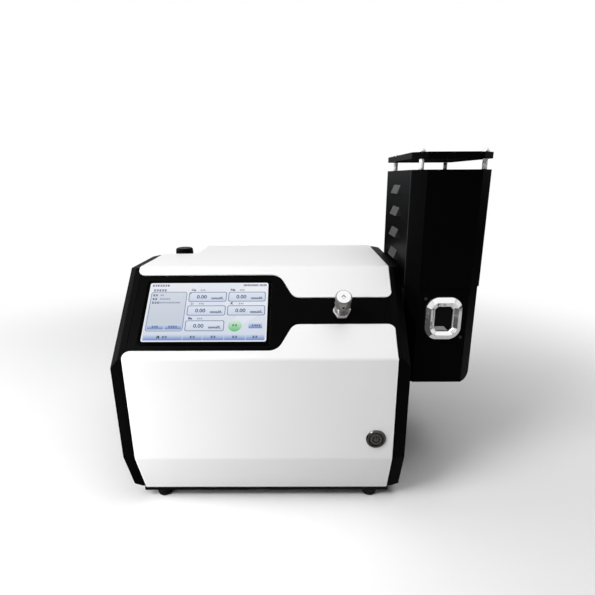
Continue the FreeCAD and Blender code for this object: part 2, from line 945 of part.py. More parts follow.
def make_touch_glass():
    corners = rounded_rectangle(display_x0, display_x1, display_s0, display_s1, glass_corner_radius)
    return placed(rounded_prism(corners, cover_sheet, fascia_back), screen_frame)


def centered_plate(length, height, depth0, depth1):
    return box(display_center_x - length / 2, display_center_x + length / 2, display_center_s - height / 2,
               display_center_s + height / 2, depth0, depth1)


def make_display_module():
    back = fascia_back + module_thickness
    return placed(centered_plate(module_length, module_height, fascia_back, back), screen_frame)


def make_display_board():
    front = fascia_back + module_thickness
    back = front + board_thickness
    board = centered_plate(display_board_length, display_board_height, front, back)
    x0 = display_center_x - display_board_length / 2
    s0 = display_center_s - display_board_height / 2
    parts = [board]
    for x_share, s_share, length_share, height_share, rise in display_part_shares:
        x = x0 + x_share * display_board_length
        s = s0 + s_share * display_board_height
        parts.append(box(x, x + length_share * display_board_length, s, s + height_share * display_board_height,
                         back, back + (connector_height if rise else chip_height)))
    return placed(joined(parts), screen_frame)


# Each row: place across, place down, length, height, and whether it is a tall connector
display_part_shares = [
    (0.10, 0.15, 0.12, 0.20, False),
    (0.30, 0.20, 0.16, 0.26, False),
    (0.56, 0.22, 0.10, 0.16, False),
    (0.12, 0.78, 0.22, 0.10, True),
    (0.45, 0.80, 0.30, 0.08, True),
    (0.86, 0.30, 0.06, 0.40, True),
]


# Power button

def make_power_button_body():
    at = (button_x, button_s)
    flange = rod(button_flange_radius, (*at, -button_flange_height), (*at, 0))
    rim = [e for e in flange.Edges if len(e.Vertexes) == 1 and e.BoundBox.ZMax < -button_flange_height / 2]
    flange = flange.makeChamfer(button_flange_bevel, rim)
    barrel = rod(button_barrel_radius, (*at, 0), (*at, button_barrel_depth))
    bore_depth = button_cap_thickness - button_cap_proud + button_travel + sliding_gap
    bore = rod(button_cap_radius + sliding_gap, (*at, -button_flange_height - overrun), (*at, bore_depth))
    groove_outer = rod(button_ring_groove_radius + button_ring_groove_width, (*at, -button_flange_height - overrun),
                       (*at, -button_flange_height + button_ring_groove_depth))
    groove_inner = rod(button_ring_groove_radius, (*at, -button_flange_height - overrun * 2),
                       (*at, -button_flange_height + button_ring_groove_depth * 2))
    body = without(joined([flange, barrel]), [bore, groove_outer.cut(groove_inner)])
    return placed(body, front_frame)


def make_power_button_cap():
    at = (button_x, button_s)
    cap = rod(button_cap_radius, (*at, -button_cap_proud), (*at, button_cap_thickness - button_cap_proud))
    return placed(cap, front_frame)


def make_power_button_nut():
    nut = hex_prism((button_x, button_s), button_nut_flats, cover_sheet, cover_sheet + button_nut_thickness)
    bore = rod(button_barrel_radius, (button_x, button_s, 0), (button_x, button_s, button_barrel_depth))
    return placed(nut.cut(bore), front_frame)


# Fuel valve

def make_fuel_valve_body():
    at = (valve_x, valve_s)
    half = valve_body_width / 2
    block = box(valve_x - half, valve_x + half, valve_s - half, valve_s + half, fascia_back, valve_end_depth)
    neck = rod(valve_neck_radius, (*at, -valve_neck_proud), (*at, fascia_back))
    spindle_bore = rod(needle_radius + running_gap, (*at, -valve_neck_proud - overrun),
                       (*at, valve_end_depth - needle_end_margin))
    end_port = rod(tube_radius, (*at, valve_end_depth - port_depth), (*at, valve_end_depth + overrun))
    side_port = rod(tube_radius, (valve_x + half - port_depth, valve_s, valve_port_depth),
                    (valve_x + half + overrun, valve_s, valve_port_depth))
    return placed(without(joined([block, neck]), [spindle_bore, end_port, side_port]), screen_frame)


def make_fuel_valve_nut():
    front = cover_sheet - valve_nut_thickness
    nut = hex_prism((valve_x, valve_s), valve_nut_flats, front, cover_sheet)
    corner_radius = valve_nut_flats / 2 / math.cos(math.pi / 6)
    face_radius = corner_radius - valve_nut_chamfer
    chamfered = cone(face_radius, face_radius + valve_nut_thickness * 2, (valve_x, valve_s, front),
                     (valve_x, valve_s, front + valve_nut_thickness))
    bore = rod(valve_neck_radius, (valve_x, valve_s, front - overrun), (valve_x, valve_s, cover_sheet + overrun))
    return placed(nut.common(chamfered).cut(bore), screen_frame)


def valve_knob_ends():
    foot = -valve_neck_proud - valve_knob_gap
    return foot, foot - valve_knob_length


def make_fuel_valve_needle():
    at = (valve_x, valve_s)
    foot, end = valve_knob_ends()
    tip = valve_end_depth - needle_end_margin - sliding_gap
    shaft = rod(needle_radius, (*at, end + valve_knob_end_wall + sliding_gap), (*at, tip - needle_tip_length))
    point = cone(needle_radius, needle_tip_radius, (*at, tip - needle_tip_length), (*at, tip))
    return placed(joined([shaft, point]), screen_frame)


def set_screw_depth():
    foot, end = valve_knob_ends()
    return (foot + end) / 2


def make_fuel_valve_knob():
    at = (valve_x, valve_s)
    foot, end = valve_knob_ends()
    waist = foot - valve_knob_foot_length
    body = rod(valve_knob_radius, (*at, end), (*at, waist))
    rim = [e for e in body.Edges if len(e.Vertexes) == 1 and e.BoundBox.ZMax < waist - valve_knob_foot_length]
    body = body.makeChamfer(valve_knob_chamfer, rim)
    skirt = cone(valve_knob_radius, valve_knob_foot_radius, (*at, waist), (*at, foot))
    bore = rod(needle_radius + running_gap, (*at, end + valve_knob_end_wall), (*at, foot + overrun))
    half = valve_knob_socket / 2
    diamond = [(valve_x - half, valve_s, 0), (valve_x, valve_s - half, 0), (valve_x + half, valve_s, 0),
               (valve_x, valve_s + half, 0)]
    socket = rounded_prism(diamond, end - overrun, end + valve_knob_socket_depth)
    depth = set_screw_depth()
    hole = rod(set_screw_radius, (valve_x, valve_s, depth), (valve_x, valve_s + valve_knob_radius + overrun, depth))
    return placed(without(joined([body, skirt]), [bore, socket, hole]), screen_frame)


def make_knob_set_screw():
    depth = set_screw_depth()
    outer_s = valve_s + valve_knob_radius - set_screw_recess / 2
    screw = rod(set_screw_radius, (valve_x, outer_s - set_screw_height, depth), (valve_x, outer_s, depth))
    key = upright(hex_prism((valve_x, 0), set_screw_radius, 0, set_screw_recess + overrun))
    key.translate(Vector(0, outer_s + overrun, depth))
    return placed(screw.cut(key), screen_frame)


# Air regulator

def regulator_point(z):
    return (regulator_x, regulator_y, z)


def regulator_neck_top():
    return recess_floor_z + regulator_ring_height + regulator_knob_gap / 2


def make_air_regulator_body():
    bottom = regulator_top_z - regulator_body_height
    body = rod(regulator_body_radius, regulator_point(bottom), regulator_point(regulator_top_z))
    neck = rod(regulator_neck_radius, regulator_point(regulator_top_z), regulator_point(regulator_neck_top()))
    bore = rod(regulator_stem_radius + running_gap,
               regulator_point(regulator_neck_top() - regulator_stem_seat - sliding_gap),
               regulator_point(regulator_neck_top() + overrun))
    z = regulator_port_z
    rear = rod(fitting_radius, (regulator_x, regulator_y + regulator_body_radius - port_depth, z),
               (regulator_x, regulator_y + regulator_body_radius + overrun, z))
    side = rod(tube_radius, (regulator_x + regulator_body_radius - port_depth, regulator_y, z),
               (regulator_x + regulator_body_radius + overrun, regulator_y, z))
    return without(joined([body, neck]), [bore, rear, side])


def make_air_regulator_ring():
    top = recess_floor_z + regulator_ring_height
    ring = rod(regulator_ring_radius, regulator_point(recess_floor_z), regulator_point(top))
    bore = rod(regulator_neck_radius, regulator_point(recess_floor_z - overrun), regulator_point(top + overrun))
    return ring.cut(bore)


def make_air_regulator_stem():
    top = recess_floor_z + regulator_stem_rise
    return rod(regulator_stem_radius, regulator_point(regulator_neck_top() - regulator_stem_seat),
               regulator_point(top))


def make_air_regulator_knob():
    bottom = recess_floor_z + regulator_ring_height + regulator_knob_gap
    top = bottom + regulator_knob_height
    knob = rod(regulator_knob_radius, regulator_point(bottom), regulator_point(top))
    rim = [e for e in knob.Edges if len(e.Vertexes) == 1 and e.BoundBox.ZMin > top - overrun]
    knob = knob.makeChamfer(regulator_knob_chamfer, rim)
    bore = rod(regulator_stem_radius + running_gap, regulator_point(bottom - overrun),
               regulator_point(recess_floor_z + regulator_stem_rise + sliding_gap))
    grooves = []
    for i in range(knob_rib_count):
        x, y = around((regulator_x, regulator_y), regulator_knob_radius + knob_rib_radius / 2,
                      360 / knob_rib_count * i)
        grooves.append(rod(knob_rib_radius, (x, y, bottom - overrun), (x, y, top - regulator_knob_cap)))
    return without(knob, [bore] + grooves)


# Rear fittings, shut-off valve and gas lines

def rear_fitting(x, z, inner_y):
    stem = rod(fitting_radius, (x, inner_y, z), (x, rear_y, z))
    flange_y = rear_y + fitting_flange_thickness
    end_y = flange_y + fitting_nipple_length
    tip_y = end_y - fitting_tip_length
    flange = rod(fitting_flange_radius, (x, rear_y, z), (x, flange_y, z))
    nipple = rod(fitting_nipple_radius, (x, flange_y, z), (x, tip_y, z))
    tip = cone(fitting_nipple_radius, fitting_tip_radius, (x, tip_y, z), (x, end_y, z))
    bore = rod(fitting_bore_radius, (x, inner_y - overrun, z), (x, end_y + overrun, z))
    return joined([stem, flange, nipple, tip]).cut(bore)


def make_air_inlet_fitting():
    return rear_fitting(regulator_x, regulator_port_z, regulator_y + regulator_body_radius - port_depth)


def make_fuel_inlet_fitting():
    return rear_fitting(fuel_line_x, fuel_inlet_z, shutoff_rear_y - port_depth)


def make_fuel_shutoff_valve():
    x0 = fuel_line_x - shutoff_width / 2
    x1 = fuel_line_x + shutoff_width / 2
    top = floor_z + shutoff_body_height
    body = box(x0, x1, shutoff_front_y, shutoff_rear_y, floor_z, top)
    middle_y = (shutoff_front_y + shutoff_rear_y) / 2
    coil = rod(shutoff_coil_radius, (fuel_line_x, middle_y, top), (fuel_line_x, middle_y, top + shutoff_coil_height))
    front = rod(tube_radius, (fuel_line_x, shutoff_front_y - overrun, fuel_inlet_z),
                (fuel_line_x, shutoff_front_y + port_depth, fuel_inlet_z))
    rear = rod(fitting_radius, (fuel_line_x, shutoff_rear_y - port_depth, fuel_inlet_z),
               (fuel_line_x, shutoff_rear_y + overrun, fuel_inlet_z))
    return without(joined([body, coil]), [front, rear])


def make_fuel_line():
    start = on_screen(valve_x, valve_s, valve_end_depth - port_depth)
    turn = on_screen(valve_x, valve_s, valve_end_depth + fuel_line_drop)
    points = [start, turn, (turn[0], turn[1], fuel_inlet_z),
              (turn[0], shutoff_front_y + port_depth, fuel_inlet_z)]
    return bent_tube("fuel_line", points, [fuel_line_bend, fuel_line_bend], tube_radius, tube_bore_radius)


def make_burner_line():
    start = on_screen(valve_x + valve_body_width / 2 - port_depth, valve_s, valve_port_depth)
    points = [start, (burner_line_x, start[1], start[2]), (burner_line_x, burner_port_y, chamber_z),
              (tower_x - chamber_radius + chamber_wall, burner_port_y, chamber_z)]
    return bent_tube("burner_line", points, [burner_line_first_bend, burner_line_bend], tube_radius,
                     tube_bore_radius)


def make_air_line():
    points = [(regulator_x + regulator_body_radius - port_depth, regulator_y, regulator_port_z),
              (air_line_x, regulator_y, regulator_port_z), (air_line_x, nebuliser_port_y, chamber_z),
              (tower_x - nebuliser_radius + tube_radius, nebuliser_port_y, chamber_z)]
    return bent_tube("air_line", points, [air_line_bend, air_line_bend], tube_radius, tube_bore_radius)


# Electronics

def make_main_board():
    z0 = floor_z + board_standoff_height
    z1 = z0 + board_thickness
    length = board_right_x - board_left_x
    depth = board_rear_y - board_front_y
    parts = [box(board_left_x, board_right_x, board_front_y, board_rear_y, z0, z1)]
    for x_share, y_share, length_share, depth_share, height in main_part_shares:
        x = board_left_x + x_share * length
        y = board_front_y + y_share * depth
        parts.append(box(x, x + length_share * length, y, y + depth_share * depth, z1, z1 + height * chip_height))
    holes = [rod(foot_screw_radius / 2, (x, y, z0 - overrun), (x, y, z1 + overrun))
             for x, y in board_standoff_centers()]
    return without(joined(parts), holes)


# Each row: place across, place back, length, depth, and height in chip heights
main_part_shares = [
    (0.12, 0.10, 0.18, 0.14, 1),
    (0.42, 0.12, 0.26, 0.18, 1),
    (0.14, 0.40, 0.30, 0.16, 6),
    (0.56, 0.44, 0.12, 0.10, 2),
    (0.76, 0.40, 0.14, 0.30, 4),
    (0.14, 0.72, 0.50, 0.07, 4),
    (0.16, 0.86, 0.30, 0.06, 3),
]


def board_standoff_centers():
    inset = board_standoff_inset
    return [(x, y) for x in (board_left_x + inset, board_right_x - inset)
            for y in (board_front_y + inset, board_rear_y - inset)]


def make_board_standoffs():
    top = floor_z + board_standoff_height
    return Part.makeCompound([rod(board_standoff_radius, (x, y, floor_z), (x, y, top))
                              for x, y in board_standoff_centers()])


def make_power_supply():
    top = floor_z + supply_height
    case = box(supply_left_x, supply_right_x, supply_front_y, supply_rear_y, floor_z, top)
    slots = []
    pitch = (supply_rear_y - supply_front_y) / (supply_slot_count + 1)
    width = supply_right_x - supply_left_x
    for i in range(supply_slot_count):
        y = supply_front_y + pitch * (i + 1)
        slots.append(box(supply_left_x + width / 5, supply_right_x - width / 5, y - supply_slot_width / 2,
                         y + supply_slot_width / 2, top - supply_sheet, top + overrun))
    return without(case, slots)


# Cooling fan

def make_cooling_fan_frame():
    half = fan_size / 2
    y1 = rear_y - rear_sheet
    y0 = y1 - fan_thickness
    corners = rounded_rectangle(fan_x - half, fan_x + half, fan_z - half, fan_z + half, fan_corner_radius)
    bore = rod(fan_bore_radius, (fan_x, y0 - overrun, fan_z), (fan_x, y1 + overrun, fan_z))
    hub = rod(fan_hub_radius, (fan_x, y1 - fan_spider_thickness, fan_z), (fan_x, y1, fan_z))
    strut = fan_strut_width / 2
    reach = (fan_bore_radius + fan_size / 2) / 2
    struts = [box(fan_x - a, fan_x + a, y1 - fan_spider_thickness, y1, fan_z - b, fan_z + b)
              for a, b in [(reach, strut), (strut, reach)]]
    pin = rod(fan_pin_radius, (fan_x, y0 + fan_spider_thickness, fan_z), (fan_x, y1 - fan_spider_thickness, fan_z))
    return joined([upright_prism(corners, y0, y1).cut(bore), hub, pin] + struts)


def make_cooling_fan_rotor():
    y1 = rear_y - rear_sheet - fan_spider_thickness - sliding_gap
    y0 = rear_y - rear_sheet - fan_thickness + fan_tip_gap
    hub = rod(fan_hub_radius, (fan_x, y0, fan_z), (fan_x, y1, fan_z))
    middle = (y0 + y1) / 2
    half_chord = (y1 - y0) / 2 / math.cos(math.radians(fan_blade_pitch_deg))
    blades = []
    for i in range(fan_blade_count):
        blade = box(fan_x - fan_blade_thickness / 2, fan_x + fan_blade_thickness / 2, middle - half_chord,
                    middle + half_chord, fan_z + fan_hub_radius / 2, fan_z + fan_bore_radius + overrun)
        blade.rotate(Vector(fan_x, middle, fan_z), Vector(0, 0, 1), fan_blade_pitch_deg)
        blade.rotate(Vector(fan_x, middle, fan_z), Vector(0, 1, 0), 360 / fan_blade_count * i)
        blades.append(blade)
    sweep = rod(fan_bore_radius - fan_tip_gap, (fan_x, y0, fan_z), (fan_x, y1, fan_z))
    bore = rod(fan_pin_radius + running_gap, (fan_x, y0 - overrun, fan_z), (fan_x, y1 + overrun, fan_z))
    return joined([hub] + blades).common(sweep).cut(bore)


def make_fan_guard():
    wire_y = rear_y + guard_standoff + guard_wire_radius
    parts = []
    for i in range(guard_ring_count):
        radius = guard_ring_step * (i + 1)
        ends = (fan_x, wire_y - guard_wire_radius, fan_z), (fan_x, wire_y + guard_wire_radius, fan_z)
        parts.append(rod(radius + guard_wire_radius, *ends).cut(rod(radius - guard_wire_radius, *ends)))
    corner = fan_size / 2 - fan_corner_radius
    for turn in (45, 135):
        dx = corner * math.sqrt(2) * math.cos(math.radians(turn))
        dz = corner * math.sqrt(2) * math.sin(math.radians(turn))
        parts.append(rod(guard_wire_radius, (fan_x - dx, wire_y, fan_z - dz), (fan_x + dx, wire_y, fan_z + dz)))
        for side in (-1, 1):
            x = fan_x + dx * side
            z = fan_z + dz * side
            parts.append(rod(guard_wire_radius * 3, (x, rear_y, z), (x, wire_y + guard_wire_radius, z)))
    return joined(parts)


# Mains inlet

def rear_pocket(width, height, depth, drop, radius=0.0):
    """Cutter for a pocket in the inlet's rear face, centred drop above the module's middle."""
    z = mains_z + drop
    corners = rounded_rectangle(mains_x - width / 2, mains_x + width / 2, z - height / 2, z + height / 2, radius)
    face_y = rear_y + mains_flange_thickness
    return upright_prism(corners, face_y - depth, face_y + overrun)


def rocker_pivot():
    return (mains_x, rear_y + mains_flange_thickness - rocker_pivot_depth, mains_z + rocker_rise)


def rocker_pin(radius, half_length):
    x, y, z = rocker_pivot()
    return rod(radius, (x - half_length, y, z), (x + half_length, y, z))


def make_mains_inlet():
    half_width_flange = mains_flange_width / 2
    half_height_flange = mains_flange_height / 2
    flange = upright_prism(
        rounded_rectangle(mains_x - half_width_flange, mains_x + half_width_flange, mains_z - half_height_flange,
                          mains_z + half_height_flange, socket_corner_radius),
        rear_y, rear_y + mains_flange_thickness)
    body = box(mains_x - mains_body_width / 2, mains_x + mains_body_width / 2, rear_y - mains_body_depth, rear_y,
               mains_z - mains_body_height / 2, mains_z + mains_body_height / 2)
    pockets = [
        rear_pocket(socket_width, socket_height, socket_depth, -socket_drop, socket_corner_radius),
        rear_pocket(drawer_width + sliding_gap * 2, drawer_height + sliding_gap * 2,
                    drawer_depth + sliding_gap, -drawer_drop),
        rear_pocket(rocker_width, rocker_height, rocker_pocket_depth, rocker_rise),
        rocker_pin(rocker_pin_radius + running_gap, rocker_width / 2 + rocker_pin_reach),
    ]
    pin_y = rear_y + mains_flange_thickness - socket_depth
    pins = []
    for side, rise in [(-1, -1), (0, 1), (1, -1)]:
        x = mains_x + side * pin_spacing
        z = mains_z - socket_drop + rise * pin_stagger
        pins.append(box(x - pin_thickness / 2, x + pin_thickness / 2, pin_y, pin_y + pin_length, z - pin_height / 2,
                        z + pin_height / 2))
    return joined([without(joined([flange, body]), pockets)] + pins)


def make_fuse_drawer():
    face_y = rear_y + mains_flange_thickness
    z = mains_z - drawer_drop
    body = box(mains_x - drawer_width / 2, mains_x + drawer_width / 2, face_y - drawer_depth, face_y,
               z - drawer_height / 2, z + drawer_height / 2)
    front = box(mains_x - drawer_width / 2, mains_x + drawer_width / 2, face_y,
                face_y + drawer_lip, z - drawer_height / 2, z + drawer_height / 2)
    grip = box(mains_x - drawer_width / 4, mains_x + drawer_width / 4, face_y + drawer_lip / 2,
               face_y + drawer_lip + overrun, z - drawer_lip_grip, z + drawer_lip_grip)
    return without(joined([body, front]), [grip])


def make_mains_switch_rocker():
    x, y, z = rocker_pivot()
    half = rocker_height / 2 - rocker_end_gap
    points = [(-rocker_back, -rocker_back_height / 2), (-rocker_back, rocker_back_height / 2), (rocker_front, half),
              (rocker_ridge, 0), (rocker_front, -half)]
    outline = [(y + py, z + pz) for py, pz in points]
    side = rocker_width / 2 - sliding_gap
    paddle = yz_prism(outline, x - side, x + side)
    rocker = joined([paddle, rocker_pin(rocker_pin_radius, side + rocker_pin_reach)])
    rocker.rotate(Vector(x, y, z), Vector(1, 0, 0), rocker_tilt_deg)
    return rocker


# Data port

def make_data_port():
    flange = box(data_port_x - data_port_length / 2, data_port_x + data_port_length / 2, rear_y,
                 rear_y + data_port_flange, data_port_z - data_port_height / 2, data_port_z + data_port_height / 2)
    top = data_port_z + data_shell_height / 2
    bottom = data_port_z - data_shell_height / 2
    corners = [(data_port_x - data_shell_bottom / 2, bottom, data_post_radius / 2),
               (data_port_x + data_shell_bottom / 2, bottom, data_post_radius / 2),
               (data_port_x + data_shell_top / 2, top, data_post_radius / 2),
               (data_port_x - data_shell_top / 2, top, data_post_radius / 2)]
    end_y = rear_y + data_shell_proud
    shell = upright_prism(corners, rear_y - data_body_depth, end_y)
    holes = []
    for row, count in [(1, 5), (-1, 4)]:
        for i in range(count):
            x = data_port_x + (i - (count - 1) / 2) * data_hole_pitch
            z = data_port_z + row * data_hole_pitch / 2
            holes.append(rod(data_hole_radius, (x, end_y - data_hole_depth, z), (x, end_y + overrun, z)))
    posts = []
    for side in (-1, 1):
        x = data_port_x + side * data_post_spacing / 2
        posts.append(rod(data_post_radius, (x, rear_y + data_port_flange, data_port_z),
                         (x, rear_y + data_port_flange + data_post_length, data_port_z)))
    return without(joined([flange, shell] + posts), holes)


# Optical block

def optics_rod(radius, x0, x1, turn=None):
    y, z = tower_y, optics_z
    if turn is not None:
        y, z = around((tower_y, optics_z), filter_ring_radius, turn)
    return rod(radius, (x0, y, z), (x1, y, z))


def optics_ends():
    back_x = panel_inner_face_x - optics_length
    room_x = (back_x + panel_inner_face_x) / 2 - light_chamber_length / 2
    return back_x, room_x


def filter_turns():
    return [90 + 360 / filter_count * i for i in range(filter_count)]


def make_optical_block():
    back_x, room_x = optics_ends()
    block = box(back_x, panel_inner_face_x, tower_y - optics_depth / 2, tower_y + optics_depth / 2,
                optics_z - optics_height / 2, optics_z + optics_height / 2)
    tube = optics_rod(light_tube_radius, panel_inner_face_x, box_left_x + tower_sheet)
    light_bore = optics_rod(light_bore_radius, room_x, box_left_x + overrun * 2)
    room = optics_rod(light_chamber_radius, room_x, room_x + light_chamber_length)
    bores = [optics_rod(filter_bore_radius, back_x - overrun, room_x + overrun / 2, t) for t in filter_turns()]
    return without(joined([block, tube]), [light_bore, room] + bores)


def make_collimating_lens():
    x = panel_inner_face_x
    radius = light_bore_radius - running_gap
    flat = optics_rod(radius, x, x + lens_thickness)
    sphere_radius = (radius ** 2 + lens_crown ** 2) / (2 * lens_crown)
    center = Vector(x + lens_thickness + lens_crown - sphere_radius, tower_y, optics_z)
    crown = optics_rod(radius, x + lens_thickness, x + lens_thickness + lens_crown)
    return joined([flat, crown.common(Part.makeSphere(sphere_radius, center))])


def make_optical_filters():
    back_x, room_x = optics_ends()
    return Part.makeCompound([optics_rod(filter_radius, room_x - filter_thickness, room_x, t)
                              for t in filter_turns()])


def make_photodiodes():
    back_x, room_x = optics_ends()
    diodes = []
    for turn in filter_turns():
        can = optics_rod(diode_radius, room_x - filter_thickness - diode_length, room_x - filter_thickness, turn)
        y, z = around((tower_y, optics_z), filter_ring_radius, turn)
        x1 = room_x - filter_thickness - diode_length
        leads = [rod(diode_lead_radius, (x1 - diode_lead_length, y + side * diode_radius / 2, z),
                     (x1, y + side * diode_radius / 2, z)) for side in (-1, 1)]
        diodes.append(joined([can] + leads))
    return Part.makeCompound(diodes)


# Burner tower

def tower_outline():
    x0, x1 = tower_left_x, tower_right_x
    y0, y1 = tower_front_y, tower_rear_y
    c = tower_chamfer
    return [(x0, y0 + c), (x0, y1), (x1, y1), (x1, y0 + c), (x1 - c, y0), (x0 + c, y0)]


def tower_prism(inset, z0, z1):
    points = inset_outline(tower_outline(), [inset] * 6)
    rear_radius = tower_rear_radius + tower_sheet * 2 - inset
    radii = [0, rear_radius, rear_radius, 0, 0, 0]
    return rounded_prism([(p[0], p[1], r) for p, r in zip(points, radii)], z0, z1)


def louvre_wedge(top_z, out, drop, end_length, width):
    """Wedge on the tower's left face: shut at the top and ends, widest at its foot."""
    x = tower_left_x
    y0 = tower_y + louvre_center_offset - width / 2
    y1 = y0 + width
    z1 = top_z - drop
    top_a, top_b = Vector(x, y0, top_z), Vector(x, y1, top_z)
    out_a, out_b = Vector(x - out, y0, z1), Vector(x - out, y1, z1)
    end_a, end_b = Vector(x, y0 - end_length, z1), Vector(x, y1 + end_length, z1)
    sides = [
        [top_a, top_b, out_b, out_a],
        [top_a, out_a, end_a],
        [top_b, end_b, out_b],
        [end_a, out_a, out_b, end_b],
        [end_a, end_b, top_b, top_a],
    ]
    faces = [Part.Face(Part.makePolygon(s + s[:1])) for s in sides]
    return Part.Solid(Part.Shell(faces))


def make_chimney_shell():
    outer = tower_prism(0, shell_bottom_z, shell_top_z)
    inner = tower_prism(tower_sheet, shell_bottom_z - overrun, shell_top_z - tower_sheet)
    hoods = []
    cutters = [inner]
    for i in range(louvre_count):
        top = louvre_top_z - louvre_pitch * i
        hoods.append(louvre_wedge(top, louvre_out, louvre_height, louvre_end_length, louvre_width))
        room = louvre_wedge(top - louvre_sheet, louvre_out - louvre_sheet, louvre_height, louvre_end_length,
                            louvre_width - louvre_sheet * 2)
        cutters.append(room)
        y0 = tower_y + louvre_center_offset - louvre_width / 2
        cutters.append(box(tower_left_x - running_gap, tower_left_x + tower_sheet + overrun, y0 + louvre_sheet,
                           y0 + louvre_width - louvre_sheet, top - louvre_height, top - louvre_sheet * 2))
    cutters.append(rod(liner_radius - liner_wall, (tower_x, tower_y, shell_top_z - overrun * 2),
                       (tower_x, tower_y, shell_top_z + overrun)))
    for x, y in standoff_centers():
        cutters.append(rod(stud_radius, (x, y, shell_top_z - overrun * 2), (x, y, shell_top_z + overrun)))
    return without(joined([outer] + hoods), cutters)


def make_burner_box():
    top = shell_bottom_z + shell_lap
    walls = []
    for inset in (tower_sheet, tower_sheet * 2):
        lift = inset - tower_sheet
        plan = tower_prism(inset, tower_bottom_z + lift - overrun, top + lift * 2)
        radius = tower_bottom_radius - lift
        corners = [(tower_left_x + inset, tower_bottom_z + lift, radius),
                   (tower_right_x - inset, tower_bottom_z + lift, radius),
                   (tower_right_x - inset, top + lift * 2, 0), (tower_left_x + inset, top + lift * 2, 0)]
        walls.append(plan.common(upright_prism(corners, tower_front_y, tower_rear_y)))
    window = upright_prism(window_corners(rim_opening_width, rim_opening_height, rim_opening_radius),
                           tower_front_y - overrun, box_front_y + tower_sheet + overrun)
    cutters = [walls[1], window] + panel_holes(tower_left_x, box_left_x + tower_sheet + overrun)
    for radius, z in [(nebuliser_radius, chamber_z), (drain_radius, drain_z)]:
        cutters.append(rod(radius, (tower_x, box_rear_y - tower_sheet - overrun, z),
                           (tower_x, box_rear_y + overrun, z)))
    for x, z in window_screw_centers():
        cutters.append(rod(window_screw_shank_radius, (x, box_front_y - overrun, z),
                           (x, box_front_y + tower_sheet + overrun, z)))
    return without(walls[0], cutters)


def make_tower_mount_plate():
    plate = box(panel_outer_x, box_left_x, mount_front_y, mount_rear_y, mount_bottom_z, mount_top_z)
    return without(plate, panel_holes(panel_outer_x - overrun, box_left_x + overrun))


def standoff_centers():
    xs = (tower_left_x + standoff_side_inset, tower_right_x - standoff_side_inset)
    ys = (tower_front_y + standoff_end_inset, tower_rear_y - standoff_end_inset)
    return [(x, y) for x in xs for y in ys]


def make_lid_standoffs():
    top = lid_bottom_z + lid_thickness + stud_rise
    return Part.makeCompound([
        joined([rod(standoff_radius, (x, y, shell_top_z), (x, y, lid_bottom_z)),
                rod(stud_radius, (x, y, shell_top_z - tower_sheet - overrun), (x, y, top))])
        for x, y in standoff_centers()])


def make_chimney_lid():
    plate = tower_prism(0, lid_bottom_z, lid_bottom_z + lid_thickness)
    holes = [rod(stud_radius, (x, y, lid_bottom_z - overrun), (x, y, lid_bottom_z + lid_thickness + overrun))
             for x, y in standoff_centers()]
    return without(plate, holes)


def make_lid_dome_nuts():
    bottom = lid_bottom_z + lid_thickness
    dome_z = bottom + dome_nut_hex_height
    nuts = []
    for x, y in standoff_centers():
        hexagon_base = hex_prism((x, y), dome_nut_flats, bottom, dome_z)
        dome = Part.makeSphere(dome_nut_radius, Vector(x, y, dome_z), Vector(0, 0, 1), 0, 90, 360)
        bore = rod(stud_radius, (x, y, bottom - overrun), (x, y, bottom + stud_rise))
        nuts.append(joined([hexagon_base, dome]).cut(bore))
    return Part.makeCompound(nuts)


def make_chimney_liner():
    top = shell_top_z - tower_sheet
    pipe = rod(liner_radius, (tower_x, tower_y, liner_bottom_z), (tower_x, tower_y, top))
    flange = rod(liner_flange_radius, (tower_x, tower_y, top - liner_flange_thickness), (tower_x, tower_y, top))
    bore = rod(liner_radius - liner_wall, (tower_x, tower_y, liner_bottom_z - overrun),
               (tower_x, tower_y, top + overrun))
    return joined([pipe, flange]).cut(bore)


# Window

def window_corners(width, height, radius):
    return rounded_rectangle(window_x - width / 2, window_x + width / 2, window_z - height / 2,
                             window_z + height / 2, radius)


def window_loft(first, second):
    """Ruled solid between two rounded sections, each (width, height, radius, distance before the box)."""
    sections = [upright_section((window_x, window_z), w, h, r, box_front_y - out) for w, h, r, out in (first, second)]
    return Part.makeLoft(sections, True, True)


def make_window_rim():
    outer = (rim_width, rim_height, rim_corner_radius)
    ridge = (rim_ridge_width, rim_ridge_height, rim_ridge_radius)
    step = (rim_step_width, rim_step_height, rim_step_radius)
    opening = (rim_opening_width, rim_opening_height, rim_opening_radius)
    base = window_loft((*outer, 0), (*outer, rim_edge_height))
    slope = window_loft((*outer, rim_edge_height), (*ridge, rim_proud))
    dish = window_loft((*ridge, rim_proud), (*step, rim_step_height_above_face))
    throat = window_loft((*step, rim_step_height_above_face), (*opening, 0))
    return without(joined([base, slope]), [dish, throat])


def make_window_glass():
    lap = window_glass_lap * 2
    corners = window_corners(rim_opening_width + lap, rim_opening_height + lap, rim_opening_radius)
    inner_y = box_front_y + tower_sheet
    return upright_prism(corners, inner_y, inner_y + window_glass_thickness)


def window_screw_centers():
    return [(window_x + side * window_screw_dx, window_z - side * window_screw_dz) for side in (-1, 1)]


def make_window_screws():
    screws = []
    for x, z in window_screw_centers():
        head = rod(window_screw_radius, (x, box_front_y - window_screw_head, z), (x, box_front_y, z))
        shank = rod(window_screw_shank_radius, (x, box_front_y, z), (x, box_front_y + tower_sheet * 2, z))
        slot = box(x - window_screw_radius, x + window_screw_radius, box_front_y - window_screw_head - overrun,
                   box_front_y - window_screw_head / 2, z - window_screw_radius / 8, z + window_screw_radius / 8)
        screws.append(joined([head, shank]).cut(slot))
    return Part.makeCompound(screws)


# Burner and spray system

def chamber_rod(radius, y0, y1, z=None):
    z = chamber_z if z is None else z
    return rod(radius, (tower_x, y0, z), (tower_x, y1, z))


